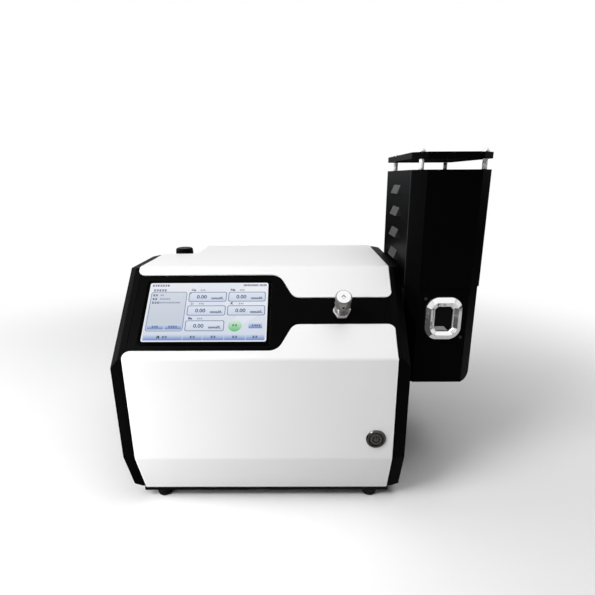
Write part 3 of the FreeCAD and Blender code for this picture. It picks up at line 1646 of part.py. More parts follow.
def make_spray_chamber():
    y0 = tower_y - chamber_front_reach
    cap_y = chamber_rear_y + chamber_cap_thickness
    box_floor = tower_bottom_z + tower_sheet
    middle_y = (y0 + chamber_rear_y) / 2
    body = chamber_rod(chamber_radius, y0, chamber_rear_y)
    cap = chamber_rod(chamber_cap_radius, chamber_rear_y, cap_y)
    saddle = box(tower_x - saddle_width / 2, tower_x + saddle_width / 2, middle_y - saddle_length / 2,
                 middle_y + saddle_length / 2, box_floor, chamber_z)
    rail = box(tower_x - rail_width / 2, tower_x + rail_width / 2, tower_y - rail_width / 2,
               tower_y - rail_width / 2 + rail_length, chamber_z, chamber_z + rail_rise)
    collar_y = box_rear_y + drain_collar_thickness
    end_y = collar_y + drain_nipple_length
    drain = chamber_rod(drain_radius, chamber_rear_y, end_y, drain_z)
    collar = chamber_rod(drain_collar_radius, box_rear_y, collar_y, drain_z)
    room = chamber_rod(chamber_radius - chamber_wall, y0 + chamber_wall, chamber_rear_y)
    drain_bore = chamber_rod(drain_bore_radius, chamber_rear_y - overrun, end_y + overrun, drain_z)
    nose = chamber_rod(nebuliser_nose_radius, chamber_rear_y - overrun, cap_y + overrun)
    riser = rod(burner_bore_radius, (tower_x, tower_y, chamber_z), (tower_x, tower_y, chamber_z + rail_rise + overrun))
    port = rod(tube_radius, (tower_x - chamber_radius - overrun, burner_port_y, chamber_z),
               (tower_x - chamber_radius + chamber_wall + overrun, burner_port_y, chamber_z))
    return without(joined([body, cap, saddle, rail, drain, collar]), [room, drain_bore, nose, riser, port])


def make_burner_head():
    foot_z = chamber_z + rail_rise
    head_z = foot_z + burner_stem_height
    top_z = head_z + burner_head_height
    at = (tower_x, tower_y)
    stem = rod(burner_stem_radius, (*at, foot_z), (*at, head_z))
    head = rod(burner_head_radius, (*at, head_z), (*at, top_z))
    cutters = [rod(burner_bore_radius, (*at, foot_z - overrun), (*at, top_z + overrun))]
    for i in range(burner_jet_count):
        x, y = around(at, burner_jet_circle, 360 / burner_jet_count * i)
        cutters.append(rod(burner_jet_radius, (x, y, head_z + burner_head_height / 2), (x, y, top_z + overrun)))
    return without(joined([stem, head]), cutters)


def make_igniter():
    foot_z = chamber_z + rail_rise
    at = (tower_x, tower_y + igniter_setback)
    top_z = foot_z + igniter_height
    insulator = rod(igniter_radius, (*at, foot_z), (*at, top_z))
    return joined([insulator, rod(igniter_tip_radius, (*at, top_z), (*at, top_z + igniter_tip_height))])


def make_nebuliser():
    cap_y = chamber_rear_y + chamber_cap_thickness
    nut_y = box_rear_y + nebuliser_cap_length
    end_y = nut_y + nebuliser_nipple_length
    nose = chamber_rod(nebuliser_nose_radius, cap_y - nebuliser_nose_length, cap_y)
    body = chamber_rod(nebuliser_radius, cap_y, box_rear_y)
    cap = chamber_rod(nebuliser_cap_radius, box_rear_y, nut_y)
    nipple = chamber_rod(nebuliser_nipple_radius, nut_y, end_y)
    bore = chamber_rod(nebuliser_bore_radius, cap_y - nebuliser_nose_length - overrun, end_y + overrun)
    port = rod(tube_radius, (tower_x - nebuliser_radius - overrun, nebuliser_port_y, chamber_z),
               (tower_x - nebuliser_radius + tube_radius, nebuliser_port_y, chamber_z))
    return without(joined([nose, body, cap, nipple]), [bore, port])


left_panel, right_panel = make_side_panels()

pieces = {
    "base_plate": make_base_plate(),
    "rubber_feet": make_rubber_feet(),
    "foot_screws": make_foot_screws(),
    "left_side_panel": left_panel,
    "right_side_panel": right_panel,
    "front_fascia": make_front_fascia(),
    "lower_cover": make_lower_cover(),
    "upper_cover": make_upper_cover(),
    "regulator_deck": make_regulator_deck(),
    "rear_panel": make_rear_panel(),
    "rear_panel_screws": make_rear_panel_screws(),
    "touch_glass": make_touch_glass(),
    "display_module": make_display_module(),
    "display_board": make_display_board(),
    "power_button_body": make_power_button_body(),
    "power_button_cap": make_power_button_cap(),
    "power_button_nut": make_power_button_nut(),
    "fuel_valve_body": make_fuel_valve_body(),
    "fuel_valve_nut": make_fuel_valve_nut(),
    "fuel_valve_needle": make_fuel_valve_needle(),
    "fuel_valve_knob": make_fuel_valve_knob(),
    "knob_set_screw": make_knob_set_screw(),
    "air_regulator_body": make_air_regulator_body(),
    "air_regulator_ring": make_air_regulator_ring(),
    "air_regulator_stem": make_air_regulator_stem(),
    "air_regulator_knob": make_air_regulator_knob(),
    "air_inlet_fitting": make_air_inlet_fitting(),
    "fuel_inlet_fitting": make_fuel_inlet_fitting(),
    "fuel_shutoff_valve": make_fuel_shutoff_valve(),
    "fuel_line": make_fuel_line(),
    "burner_line": make_burner_line(),
    "air_line": make_air_line(),
    "main_board": make_main_board(),
    "board_standoffs": make_board_standoffs(),
    "power_supply": make_power_supply(),
    "cooling_fan_frame": make_cooling_fan_frame(),
    "cooling_fan_rotor": make_cooling_fan_rotor(),
    "fan_guard": make_fan_guard(),
    "mains_inlet": make_mains_inlet(),
    "mains_switch_rocker": make_mains_switch_rocker(),
    "fuse_drawer": make_fuse_drawer(),
    "data_port": make_data_port(),
    "optical_block": make_optical_block(),
    "collimating_lens": make_collimating_lens(),
    "optical_filters": make_optical_filters(),
    "photodiodes": make_photodiodes(),
    "tower_mount_plate": make_tower_mount_plate(),
    "burner_box": make_burner_box(),
    "chimney_shell": make_chimney_shell(),
    "chimney_liner": make_chimney_liner(),
    "lid_standoffs": make_lid_standoffs(),
    "chimney_lid": make_chimney_lid(),
    "lid_dome_nuts": make_lid_dome_nuts(),
    "window_rim": make_window_rim(),
    "window_glass": make_window_glass(),
    "window_screws": make_window_screws(),
    "spray_chamber": make_spray_chamber(),
    "burner_head": make_burner_head(),
    "igniter": make_igniter(),
    "nebuliser": make_nebuliser(),
}

os.makedirs("parts", exist_ok=True)
for name, shape in pieces.items():
    valid = shape.isValid()
    print(name, "solids", len(shape.Solids), "valid", valid, "volume", round(shape.Volume, 1))
    shape.exportStep("parts/" + name + ".step")
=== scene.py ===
import json
import math

import bmesh
import bpy
from mathutils import Matrix, Vector

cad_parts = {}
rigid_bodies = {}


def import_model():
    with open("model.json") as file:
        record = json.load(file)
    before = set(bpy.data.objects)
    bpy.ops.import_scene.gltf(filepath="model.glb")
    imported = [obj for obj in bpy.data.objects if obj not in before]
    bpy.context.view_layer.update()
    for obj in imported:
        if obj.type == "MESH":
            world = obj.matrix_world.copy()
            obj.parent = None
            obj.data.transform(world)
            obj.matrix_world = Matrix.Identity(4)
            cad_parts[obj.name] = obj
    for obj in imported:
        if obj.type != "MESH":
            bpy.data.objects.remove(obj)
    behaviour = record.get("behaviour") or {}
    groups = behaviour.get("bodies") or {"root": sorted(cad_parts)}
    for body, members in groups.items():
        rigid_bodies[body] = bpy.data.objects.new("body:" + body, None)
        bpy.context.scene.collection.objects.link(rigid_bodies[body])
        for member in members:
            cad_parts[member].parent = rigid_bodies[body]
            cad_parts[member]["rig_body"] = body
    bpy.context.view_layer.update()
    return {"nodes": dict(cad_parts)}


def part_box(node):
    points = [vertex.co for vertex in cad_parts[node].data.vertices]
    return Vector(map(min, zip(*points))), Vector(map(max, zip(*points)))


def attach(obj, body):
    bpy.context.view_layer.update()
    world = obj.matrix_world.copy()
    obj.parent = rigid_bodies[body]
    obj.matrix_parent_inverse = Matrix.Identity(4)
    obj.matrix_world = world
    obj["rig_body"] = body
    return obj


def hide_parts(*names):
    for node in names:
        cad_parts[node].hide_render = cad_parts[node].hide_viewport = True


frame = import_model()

nodes = frame["nodes"]
mm = 0.001

# The view: someone standing at the bench looks down at the instrument from a little right of its middle.
# The angles are in degrees, and the camera stands where the housing's edges line up with the view.
camera_place = Vector((0.0541, -0.6481, 0.4244))
camera_pitch = math.radians(17.07)
camera_yaw = math.radians(-0.29)
camera_roll = math.radians(0.29)
camera_data = bpy.data.cameras.new("bench_view")
camera_data.sensor_width = 36.0
camera_data.lens = 27.29
camera_data.shift_x = -0.0087
camera_data.shift_y = 0.0293


def into_scene(name, data):
    """New object for the given data, linked to the scene."""
    thing = bpy.data.objects.new(name, data)
    bpy.context.scene.collection.objects.link(thing)
    return thing


camera = into_scene("bench_view", camera_data)
bpy.context.scene.camera = camera
ahead = Vector((math.sin(camera_yaw) * math.cos(camera_pitch), math.cos(camera_yaw) * math.cos(camera_pitch),
                -math.sin(camera_pitch)))
level = Vector((math.cos(camera_yaw), -math.sin(camera_yaw), 0.0))
down = ahead.cross(level)
across = level * math.cos(camera_roll) + down * math.sin(camera_roll)
upward = level * math.sin(camera_roll) - down * math.cos(camera_roll)
camera_turn = Matrix((across, upward, -ahead)).transposed().to_4x4()
camera.matrix_world = Matrix.Translation(camera_place) @ camera_turn

# The studio: a pale table before a white backdrop. A broad lamp at the upper left and a soft one overhead
# give the most light, a low one fills the front and two at the sides draw the edges. The soft ones and the
# right one are left out of reflections. The table keeps the instrument's shadow.
lamps = {
    "key_lamp": ((-0.8, -0.75, 1.2), 0.7, 15.5),
    "fill_lamp": ((-0.40, -0.42, 0.07), 0.25, 1.2),
    "overhead_lamp": ((0.35, -0.25, 1.75), 1.6, 15.5),
    "left_edge_lamp": ((-1.3, 0.05, 0.35), 0.5, 6.5),
    "right_edge_lamp": ((1.4, 0.05, 0.35), 0.5, 2.0),
}
soft_lamps = ("fill_lamp", "overhead_lamp", "right_edge_lamp")
lamp_target = Vector((0.02, -0.05, 0.2))
room_light = 0.06
table_color, table_bounce = 0.88, 0.72
bpy.context.scene.view_settings.view_transform = "Standard"
for lamp_name, (place, size, power) in lamps.items():
    lamp_data = bpy.data.lights.new(lamp_name, "AREA")
    lamp_data.shape = "DISK"
    lamp_data.size = size
    lamp_data.energy = power
    lamp = into_scene(lamp_name, lamp_data)
    lamp.visible_camera = False
    lamp.visible_glossy = lamp_name not in soft_lamps
    aim = (lamp_target - Vector(place)).to_track_quat("-Z", "Y").to_matrix().to_4x4()
    lamp.matrix_world = Matrix.Translation(place) @ aim


def put(tree, kind, feeds=None, **settings):
    """Add a node to a tree, with its settings, and feed its inputs with values or other nodes' outputs."""
    node = tree.nodes.new(kind)
    for key, value in settings.items():
        setattr(node, key, value)
    for key, value in (feeds or {}).items():
        if isinstance(value, bpy.types.NodeSocket):
            tree.links.new(value, node.inputs[key])
        else:
            node.inputs[key].default_value = value
    return node


def object_place(tree):
    return put(tree, "ShaderNodeTexCoord").outputs["Object"]


def combine(tree, operation, first, second, third=0.0):
    return put(tree, "ShaderNodeMath", {0: first, 1: second, 2: third}, operation=operation).outputs[0]


def ramp(tree, value, start, end, low=0.0, high=1.0):
    """Value that goes smoothly from low to high between start and end."""
    feeds = {"Value": value, "From Min": start, "From Max": end, "To Min": low, "To Max": high}
    return put(tree, "ShaderNodeMapRange", feeds, interpolation_type="SMOOTHSTEP").outputs["Result"]


def either(tree, seen, value_seen, value_else):
    """Value by kind of ray: one for rays that seen is 1 for, another for the rest."""
    return put(tree, "ShaderNodeMix", {0: seen, 2: value_else, 3: value_seen}).outputs[0]


def ray_kinds(tree):
    """Masks of the rays that see the backdrop: straight or through glass, and by reflection."""
    path = put(tree, "ShaderNodeLightPath").outputs
    return combine(tree, "MAXIMUM", path["Is Camera Ray"], path["Is Transmission Ray"]), path["Is Glossy Ray"]


# Backdrop: white where it is seen. In reflections it is bright behind the instrument and overhead, a little
# less so at the far right and the front left, and nearly dark elsewhere. It lights the room only faintly.
world = bpy.data.worlds.new("studio_room")
bpy.context.scene.world = world
world.use_nodes = True
room = world.node_tree
seen, mirrored = ray_kinds(room)
direction = put(room, "ShaderNodeTexCoord").outputs["Generated"]
way = put(room, "ShaderNodeSeparateXYZ", {"Vector": direction}).outputs
above = ramp(room, way["Z"], -0.01, 0.09)
behind = ramp(room, way["Y"], 0.1, 0.6)
overhead = ramp(room, way["Z"], 0.44, 0.60)
front_left = combine(room, "MULTIPLY", ramp(room, way["X"], -0.2, -0.5), ramp(room, way["Y"], -0.2, -0.5))
behind = combine(room, "MULTIPLY", behind, ramp(room, way["X"], 0.2, 0.4, 1.0, 0.0))
right_side = combine(room, "MULTIPLY", ramp(room, way["X"], 0.6, 0.8), 0.8)
lit_sides = combine(room, "MAXIMUM", behind, right_side)
reflected = combine(room, "MULTIPLY", above, combine(room, "MAXIMUM", lit_sides, overhead))
reflected = combine(room, "MAXIMUM", reflected, combine(room, "MULTIPLY", front_left, 0.8))
reflected = combine(room, "MAXIMUM", reflected, 0.03)
backdrop = room.nodes["Background"]
backdrop.inputs["Color"].default_value = (1.0, 1.0, 1.0, 1.0)
strength = either(room, seen, 1.0, either(room, mirrored, reflected, room_light))
room.links.new(strength, backdrop.inputs["Strength"])

# Table: pale under the instrument, and white further out, where it runs into the backdrop. In reflections
# only the part at its right, up to a little behind the instrument, is pale.
table_half = 6.0
table_mesh = bpy.data.meshes.new("pale_table")
table_corners = [(x * table_half, y * table_half, 0) for x, y in ((-1, -1), (1, -1), (1, 1), (-1, 1))]
table_mesh.from_pydata(table_corners, [], [(0, 1, 2, 3)])
table = into_scene("pale_table", table_mesh)


def new_shader(name):
    """New material, with its tree and its shader."""
    material = bpy.data.materials.new(name)
    material.use_nodes = True
    return material, material.node_tree, material.node_tree.nodes["Principled BSDF"]


table_material, top, table_shader = new_shader("pale_table")
seen, mirrored = ray_kinds(top)
spot = object_place(top)
distance = put(top, "ShaderNodeVectorMath", {0: spot}, operation="LENGTH").outputs["Value"]
near = ramp(top, distance, 0.35, 1.3, 1.0, 0.0)
side = put(top, "ShaderNodeSeparateXYZ", {"Vector": spot}).outputs
lit_side = ramp(top, side["X"], -0.12, 0.14, 0.03, 0.55)
lit_front = ramp(top, side["Y"], 0.22, 0.36, 1.0, 0.0)
lit_part = combine(top, "MULTIPLY", lit_side, lit_front)
lit_part = combine(top, "MULTIPLY", lit_part, ramp(top, distance, 1.6, 2.3, 1.0, 0.06))
pale = combine(top, "MULTIPLY", near, table_color)
tone = either(top, seen, pale, either(top, mirrored, lit_part, table_bounce))
top.links.new(put(top, "ShaderNodeCombineColor", {0: tone, 1: tone, 2: tone}).outputs[0],
              table_shader.inputs["Base Color"])
table_shader.inputs["Emission Color"].default_value = (1.0, 1.0, 1.0, 1.0)
top.links.new(combine(top, "MULTIPLY", seen, combine(top, "SUBTRACT", 1.0, near)),
              table_shader.inputs["Emission Strength"])
table_shader.inputs["Roughness"].default_value = 0.9
table_shader.inputs["Specular IOR Level"].default_value = 0.0
table_mesh.materials.append(table_material)

# Base plate: a shallow tray folded from steel sheet, painted black, with a lip that shows as a dark strip
# under the white cover. Feet and inner parts are screwed to its floor. Its folds and edges are slightly
# rounded.
weld_distance = 0.000002
flat_angle = math.radians(0.4)
sharp_angle = math.radians(50.0)


def effect_group(name, inputs):
    """Shader node group that puts out a base colour, a roughness and a normal."""
    tree = bpy.data.node_groups.new(name, "ShaderNodeTree")
    for label, kind, value in inputs:
        socket = tree.interface.new_socket(label, in_out="INPUT", socket_type="NodeSocket" + kind)
        socket.default_value = value
    for label, kind in (("Base Color", "Color"), ("Roughness", "Float"), ("Normal", "Vector")):
        tree.interface.new_socket(label, in_out="OUTPUT", socket_type="NodeSocket" + kind)
    return tree, tree.nodes.new("NodeGroupInput").outputs, tree.nodes.new("NodeGroupOutput").inputs


def relief(tree, height, distance, given, out, mask):
    """Close an effect group: tint the colour and spread the roughness by a mask, and raise the relief."""
    color = put(tree, "ShaderNodeMix", {0: mask, 6: given["Color"], 7: given["Tint"]}, data_type="RGBA")
    centered = put(tree, "ShaderNodeMath", {0: mask, 1: 0.5}, operation="SUBTRACT")
    rough = put(tree, "ShaderNodeMath", {0: centered.outputs[0], 1: given["Spread"], 2: given["Roughness"]},
                operation="MULTIPLY_ADD", use_clamp=True)
    bump = put(tree, "ShaderNodeBump", {"Height": height, "Distance": distance, "Strength": 1.0})
    tree.links.new(color.outputs[2], out["Base Color"])
    tree.links.new(rough.outputs[0], out["Roughness"])
    tree.links.new(bump.outputs[0], out["Normal"])


def noise(tree, place, scale, detail=3.0):
    return put(tree, "ShaderNodeTexNoise", {"Vector": place, "Scale": scale, "Detail": detail}).outputs["Fac"]


shared_inputs = [("Color", "Color", (0.5, 0.5, 0.5, 1.0)), ("Tint", "Color", (0.4, 0.4, 0.4, 1.0)),
                 ("Roughness", "Float", 0.5), ("Spread", "Float", 0.1)]

# Painted, moulded and cast surfaces: slow mottling over a fine grain.
skin_effect, given, out = effect_group("surface_skin", shared_inputs + [
    ("Mottle Scale", "Float", 20.0), ("Grain Scale", "Float", 900.0), ("Grain Depth", "Float", 0.00002)])
place = object_place(skin_effect)
mottle = noise(skin_effect, place, given["Mottle Scale"])
grain = noise(skin_effect, place, given["Grain Scale"], 1.0)
relief(skin_effect, grain, given["Grain Depth"], given, out, mottle)


shader_inputs = {"specular": "Specular IOR Level", "metallic": "Metallic", "clear": "Transmission Weight",
                 "ior": "IOR"}


def shade(value, warm=0.0):
    """Grey of a linear value, a little warmer or colder."""
    return (value * (1 + warm), value, value * (1 - warm), 1.0)


def make_material(name, group, tones, rough, feeds, **values):
    """Material fed by an effect group. Tones are its colour and tint, as greys or in full, and rough is its
    roughness and the spread of it. The other values go straight to the shader."""
    material, tree, shader = new_shader(name)
    color, tint = [tone if isinstance(tone, tuple) else shade(tone) for tone in tones]
    feeds = {"Color": color, "Tint": tint, "Roughness": rough[0], "Spread": rough[1], **feeds}
    effect = put(tree, "ShaderNodeGroup", feeds, node_tree=group)
    for output in effect.outputs:
        tree.links.new(output, shader.inputs[output.name])
    for key, value in values.items():
        shader.inputs[shader_inputs[key]].default_value = value
    return material


def skin(name, tones, rough, mottle=20.0, grain=(900.0, 0.00002), **values):
    """Painted, moulded, cast or plated material. Grain is the scale and the depth of its fine relief."""
    feeds = {"Mottle Scale": mottle, "Grain Scale": grain[0], "Grain Depth": grain[1]}
    return make_material(name, skin_effect, tones, rough, feeds, **values)


def new_piece(name, mesh, material, like, stands=True):
    """Object for a mesh in place. It moves with CAD node like and, if stands, replaces it."""
    if material is not None:
        mesh.materials.clear()
        mesh.materials.append(material)
    piece = into_scene(name, mesh)
    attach(piece, nodes[like]["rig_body"])
    if stands:
        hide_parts(like)
    return piece


def mesh_from(shape, name):
    mesh = bpy.data.meshes.new(name)
    shape.to_mesh(mesh)
    shape.free()
    return mesh


def result_of(thing):
    """Mesh of an object with its modifiers applied, in place of the object."""
    mesh = bpy.data.meshes.new_from_object(thing.evaluated_get(bpy.context.evaluated_depsgraph_get()))
    bpy.data.objects.remove(thing)
    return mesh


def smooth(mesh):
    mesh.shade_smooth()
    mesh.set_sharp_from_angle(angle=sharp_angle)
    return mesh


def eased_mesh(node, width, segments=2, least_angle=30.0, wide=(), flat_area=0.0003):
    """Mesh of a CAD node whose edges are rounded by width millimetres. Each row of wide picks edges that get
    a rounding of their own first. Faces larger than flat_area stay quite flat."""
    shape = bmesh.new()
    shape.from_mesh(nodes[node].data)
    bmesh.ops.remove_doubles(shape, verts=shape.verts, dist=weld_distance)
    bmesh.ops.dissolve_limit(shape, angle_limit=flat_angle, verts=shape.verts, edges=shape.edges)
    for picked, offset, steps in wide:
        edges = [edge for edge in shape.edges if edge.is_manifold and picked(edge)]
        bmesh.ops.bevel(shape, geom=edges, offset=offset, segments=steps, profile=0.5, affect="EDGES")
    mesh = mesh_from(shape, node + "_eased")
    for name in [a.name for a in mesh.attributes if not a.is_internal and not a.is_required]:
        mesh.attributes.remove(mesh.attributes[name])
    mesh.shade_smooth()
    draft = into_scene(node + "_draft", mesh)
    bevel = draft.modifiers.new("eased_edges", "BEVEL")
    bevel.width = width * mm
    bevel.segments = segments
    bevel.limit_method = "ANGLE"
    bevel.angle_limit = math.radians(least_angle)
    flatten = draft.modifiers.new("flat_faces", "WEIGHTED_NORMAL")
    flatten.weight = 100
    finished = result_of(draft)
    normals = [item.vector.copy() for item in finished.corner_normals]
    for face in finished.polygons:
        if face.area > flat_area:
            for corner in face.loop_indices:
                normals[corner] = face.normal
    finished.normals_split_custom_set(normals)
    return finished


def eased_copy(node, material, *sizes):
    """Copy of a CAD node with rounded edges that stands for it. The sizes are those of eased_mesh."""
    return new_piece(node + "_eased", eased_mesh(node, *sizes), material, node)


def recolor(piece, material, picked):
    """Give the faces of a piece whose middle, in millimetres, and normal are picked another material."""
    piece.data.materials.append(material)
    last = len(piece.data.materials) - 1
    for face in piece.data.polygons:
        if picked(face.center / mm, face.normal):
            face.material_index = last


black_paint = skin("black_powder_paint", tones=(0.0022, 0.0038), rough=(0.40, 0.10), mottle=14.0,
                   grain=(1400.0, 0.000012), specular=0.12)
eased_copy("base_plate", black_paint, 0.35)

# Feet: four moulded rubber feet with fine rings round their sides, each held by a slotted steel screw from
# below. They stand under the corners of the base plate.
foot_x, foot_y = 143.0, 113.0
foot_profile = [(4.2, 0.4), (4.6, 0.0), (7.2, 0.0), (8.6, 0.6), (9.4, 1.8), (9.8, 3.6), (9.6, 3.9),
                (9.65, 4.2), (10.0, 4.5), (10.5, 6.6), (10.3, 6.9), (10.35, 7.2), (10.7, 7.5), (11.3, 9.8),
                (11.9, 10.6), (11.9, 11.0), (2.0, 11.0), (2.0, 3.4), (4.2, 3.4)]


def turned(profile, steps=64, looped=True):
    """Mesh turned about Z from (radius, height) points in millimetres. A looped profile closes on itself."""
    shape = bmesh.new()
    rings = []
    for radius, height in profile:
        count = steps if radius else 1
        turns = [2 * math.pi * i / steps for i in range(count)]
        rings.append([shape.verts.new((radius * mm * math.cos(t), radius * mm * math.sin(t), height * mm))
                      for t in turns])
    pairs = list(zip(rings, rings[1:]))
    if looped:
        pairs.append((rings[-1], rings[0]))
    for low, high in pairs:
        for i in range(steps):
            j = (i + 1) % steps
            corners = [low[i % len(low)], low[j % len(low)], high[j % len(high)], high[i % len(high)]]
            corners = [v for k, v in enumerate(corners) if v not in corners[:k]]
            if len(corners) > 2:
                shape.faces.new(corners)
    bmesh.ops.recalc_face_normals(shape, faces=shape.faces)
    return smooth(mesh_from(shape, "turned"))


def aimed(mesh, origin, direction):
    """Stand a mesh that was made along Z on a point in millimetres, along the given direction."""
    turn = Vector(direction).to_track_quat("Z", "Y").to_matrix().to_4x4()
    mesh.transform(Matrix.Translation(Vector(origin) * mm) @ turn)
    return mesh


def geometry_tree(name, inputs):
    tree = bpy.data.node_groups.new(name, "GeometryNodeTree")
    tree.interface.new_socket("Geometry", in_out="INPUT", socket_type="NodeSocketGeometry")
    for label, kind in inputs:
        tree.interface.new_socket(label, in_out="INPUT", socket_type="NodeSocket" + kind)
    tree.interface.new_socket("Geometry", in_out="OUTPUT", socket_type="NodeSocketGeometry")
    return tree, tree.nodes.new("NodeGroupInput").outputs, tree.nodes.new("NodeGroupOutput").inputs


def repeat_tree(name, inputs, points, turn=None):
    """Geometry tree that puts the given piece at each point, as real mesh with its material."""
    tree, given, out = geometry_tree(name, [("Piece", "Object"), ("Material", "Material")] + inputs)
    source = put(tree, "GeometryNodeObjectInfo", {"Object": given["Piece"]})
    feeds = {"Points": points(tree, given), "Instance": source.outputs["Geometry"]}
    if turn:
        feeds["Rotation"] = turn(tree, given)
    copies = put(tree, "GeometryNodeInstanceOnPoints", feeds)
    real = put(tree, "GeometryNodeRealizeInstances", {"Geometry": copies.outputs[0]})
    dressed = put(tree, "GeometryNodeSetMaterial", {
        "Geometry": real.outputs[0], "Material": given["Material"]})
    tree.links.new(dressed.outputs[0], out["Geometry"])
    return tree


def grow(tree, inputs, base=None):
    """Run a geometry tree with named inputs on a base mesh and return the result as a plain mesh."""
    holder = into_scene("grown", base or bpy.data.meshes.new("grown"))
    modifier = holder.modifiers.new("grow", "NODES")
    modifier.node_group = tree
    for item in tree.interface.items_tree:
        if item.in_out == "INPUT" and item.name in inputs:
            modifier[item.identifier] = inputs[item.name]
    bpy.context.view_layer.update()
    return result_of(holder)


at_points = repeat_tree("pieces_at_points", [], lambda tree, given: given["Geometry"])


def repeated(name, tree, piece_mesh, material, like, base=None, stands=True, **inputs):
    """Piece made of copies of a mesh, laid out by a geometry tree."""
    single = into_scene(name + "_single", piece_mesh)
    mesh = grow(tree, {"Piece": single, "Material": material, **inputs}, base)
    bpy.data.objects.remove(single)
    return new_piece(name, mesh, material, like, stands)


def points_mesh(points):
    mesh = bpy.data.meshes.new("points")
    mesh.from_pydata([Vector(p) * mm for p in points], [], [])
    return mesh


foot_points = [(sx * foot_x, sy * foot_y, 0) for sx in (-1, 1) for sy in (-1, 1)]
rubber = skin("moulded_rubber", tones=(0.004, 0.008), rough=(0.72, 0.12), mottle=60.0,
              grain=(2600.0, 0.00003), specular=0.15)
repeated("feet", at_points, turned(foot_profile), rubber, "rubber_feet", points_mesh(foot_points))

# Brushed and ground metal: noise drawn out along one direction.
brushed_effect, given, out = effect_group("brushed_metal", shared_inputs + [
    ("Stretch", "Vector", (40.0, 1500.0, 1500.0)), ("Depth", "Float", 0.000004)])
place = object_place(brushed_effect)
drawn = put(brushed_effect, "ShaderNodeVectorMath", {0: place, 1: given["Stretch"]}, operation="MULTIPLY")
strokes = noise(brushed_effect, drawn.outputs[0], 1.0, 4.0)
relief(brushed_effect, strokes, given["Depth"], given, out, strokes)

# Lathe-turned metal: fine rings round an axis, on the sides and the ends.
turned_effect, given, out = effect_group("turned_metal", shared_inputs + [
    ("Center", "Vector", (0.0, 0.0, 0.0)), ("Axis", "Vector", (0.0, 0.0, 1.0)),
    ("Ring Scale", "Float", 2500.0), ("Depth", "Float", 0.000003)])
place = object_place(turned_effect)
from_center = put(turned_effect, "ShaderNodeVectorMath", {0: place, 1: given["Center"]}, operation="SUBTRACT")
height = put(turned_effect, "ShaderNodeVectorMath", {0: from_center.outputs[0], 1: given["Axis"]},
             operation="DOT_PRODUCT")
foot_point = put(turned_effect, "ShaderNodeVectorMath", {0: given["Axis"], "Scale": height.outputs["Value"]},
                 operation="SCALE")
radial = put(turned_effect, "ShaderNodeVectorMath", {0: from_center.outputs[0], 1: foot_point.outputs[0]},
             operation="SUBTRACT")
radius = put(turned_effect, "ShaderNodeVectorMath", {0: radial.outputs[0]}, operation="LENGTH")
ring_place = put(turned_effect, "ShaderNodeCombineXYZ", {
    0: radius.outputs["Value"], 1: height.outputs["Value"]})
rings = noise(turned_effect, ring_place.outputs[0], given["Ring Scale"], 2.0)
relief(turned_effect, rings, given["Depth"], given, out, rings)

steel = make_material("ground_steel", brushed_effect, tones=(0.52, 0.44), rough=(0.30, 0.16),
                      feeds={"Stretch": (300.0, 300.0, 2400.0)}, metallic=1.0)
eased_copy("foot_screws", steel, 0.15)

# Side panels: two black plastic mouldings with a matt grain. Their broad bevels run round the housing's
# outline, and they clip over the ends of the covers. The right one has holes for the light and gas paths.
black_moulding = skin("black_moulding", tones=(0.0013, 0.0024), rough=(0.50, 0.08), mottle=9.0,
                      grain=(1700.0, 0.00002), specular=0.02)
for side_name in ("left", "right"):
    eased_copy(side_name + "_side_panel", black_moulding, 0.9, 3)

# Covers: two sheets folded from 2 mm steel, powder coated white with a fine orange peel. Their cut edges
# run in an S across the sloping face. The folds have a soft radius, and the rounded ends and foot are
# painted a brighter white, a painted highlight line.
cover_half, cover_foot = 166.0 * mm, 16.0 * mm
housing_core_y, housing_core_z = 0.02, 0.16
fold_angles = (math.radians(6.0), math.radians(62.0))


def is_fold(edge):
    """Fold line of a cover: along X, between faces that meet at a blunt angle."""
    along = (edge.verts[1].co - edge.verts[0].co).normalized()
    return abs(along.x) > 0.999 and fold_angles[0] < edge.calc_face_angle() < fold_angles[1]


def is_hem(edge):
    """Outer edge of a cover's ends or foot."""
    middle = (edge.verts[0].co + edge.verts[1].co) / 2
    at_end = all(abs(abs(v.co.x) - cover_half) < 0.1 * mm for v in edge.verts)
    at_foot = all(v.co.z - cover_foot < 0.1 * mm for v in edge.verts)
    if not at_end and not at_foot:
        return False
    outward = max(abs(face.normal.x) if at_end else -face.normal.z for face in edge.link_faces)
    across = [face.normal for face in edge.link_faces if abs(face.normal.x) < 0.5 and face.normal.z > -0.9]
    away = Vector((0.0, middle.y - housing_core_y, middle.z - housing_core_z))
    return outward > 0.99 and len(across) == 1 and across[0].dot(away) > 0


cover_folds = ((is_fold, 2.6 * mm, 5), (is_hem, 1.7 * mm, 4))
white_coat = skin("white_powder_coat", tones=(0.80, 0.77), rough=(0.42, 0.06), mottle=7.0,
                  grain=(850.0, 0.00003), specular=0.4)
# Brighter white for the rounded ends and foot: a painted highlight.
highlight_painted_coat = skin("rolled_edge_painted_highlight", tones=(0.98, 0.96), rough=(0.30, 0.06), mottle=7.0,
                   grain=(850.0, 0.00002), specular=0.5)
for cover in ("lower_cover", "upper_cover"):
    coated = eased_copy(cover, white_coat, 0.4, 3, 30.0, cover_folds)
    # The rounded ends and foot get the brighter white: a painted highlight line.
    recolor(coated, highlight_painted_coat, lambda middle, normal: (abs(middle.x) > 164.2 and abs(normal.x) > 0.12)
            or (middle.z < 18.0 and normal.y < -0.2 and normal.z < -0.45))

# Front fascia and touch glass: a semi-gloss black plate behind the covers' S-shaped edges, and the display's
# cover glass set into it. The glass is printed black on its back, so it reads as one dark sheet.
screen_top = Vector((0.0, -54.1, 310.4))
screen_down = Vector((0.0, -0.71265, -0.7015))
screen_out = Vector((0.0, -0.7015, 0.7127))


def on_screen(x, s, height):
    """Point of the display face in metres: x across, s down the slope, height out of the covers' plane."""
    return (screen_top + Vector((x, 0, 0)) + screen_down * s + screen_out * height) * mm


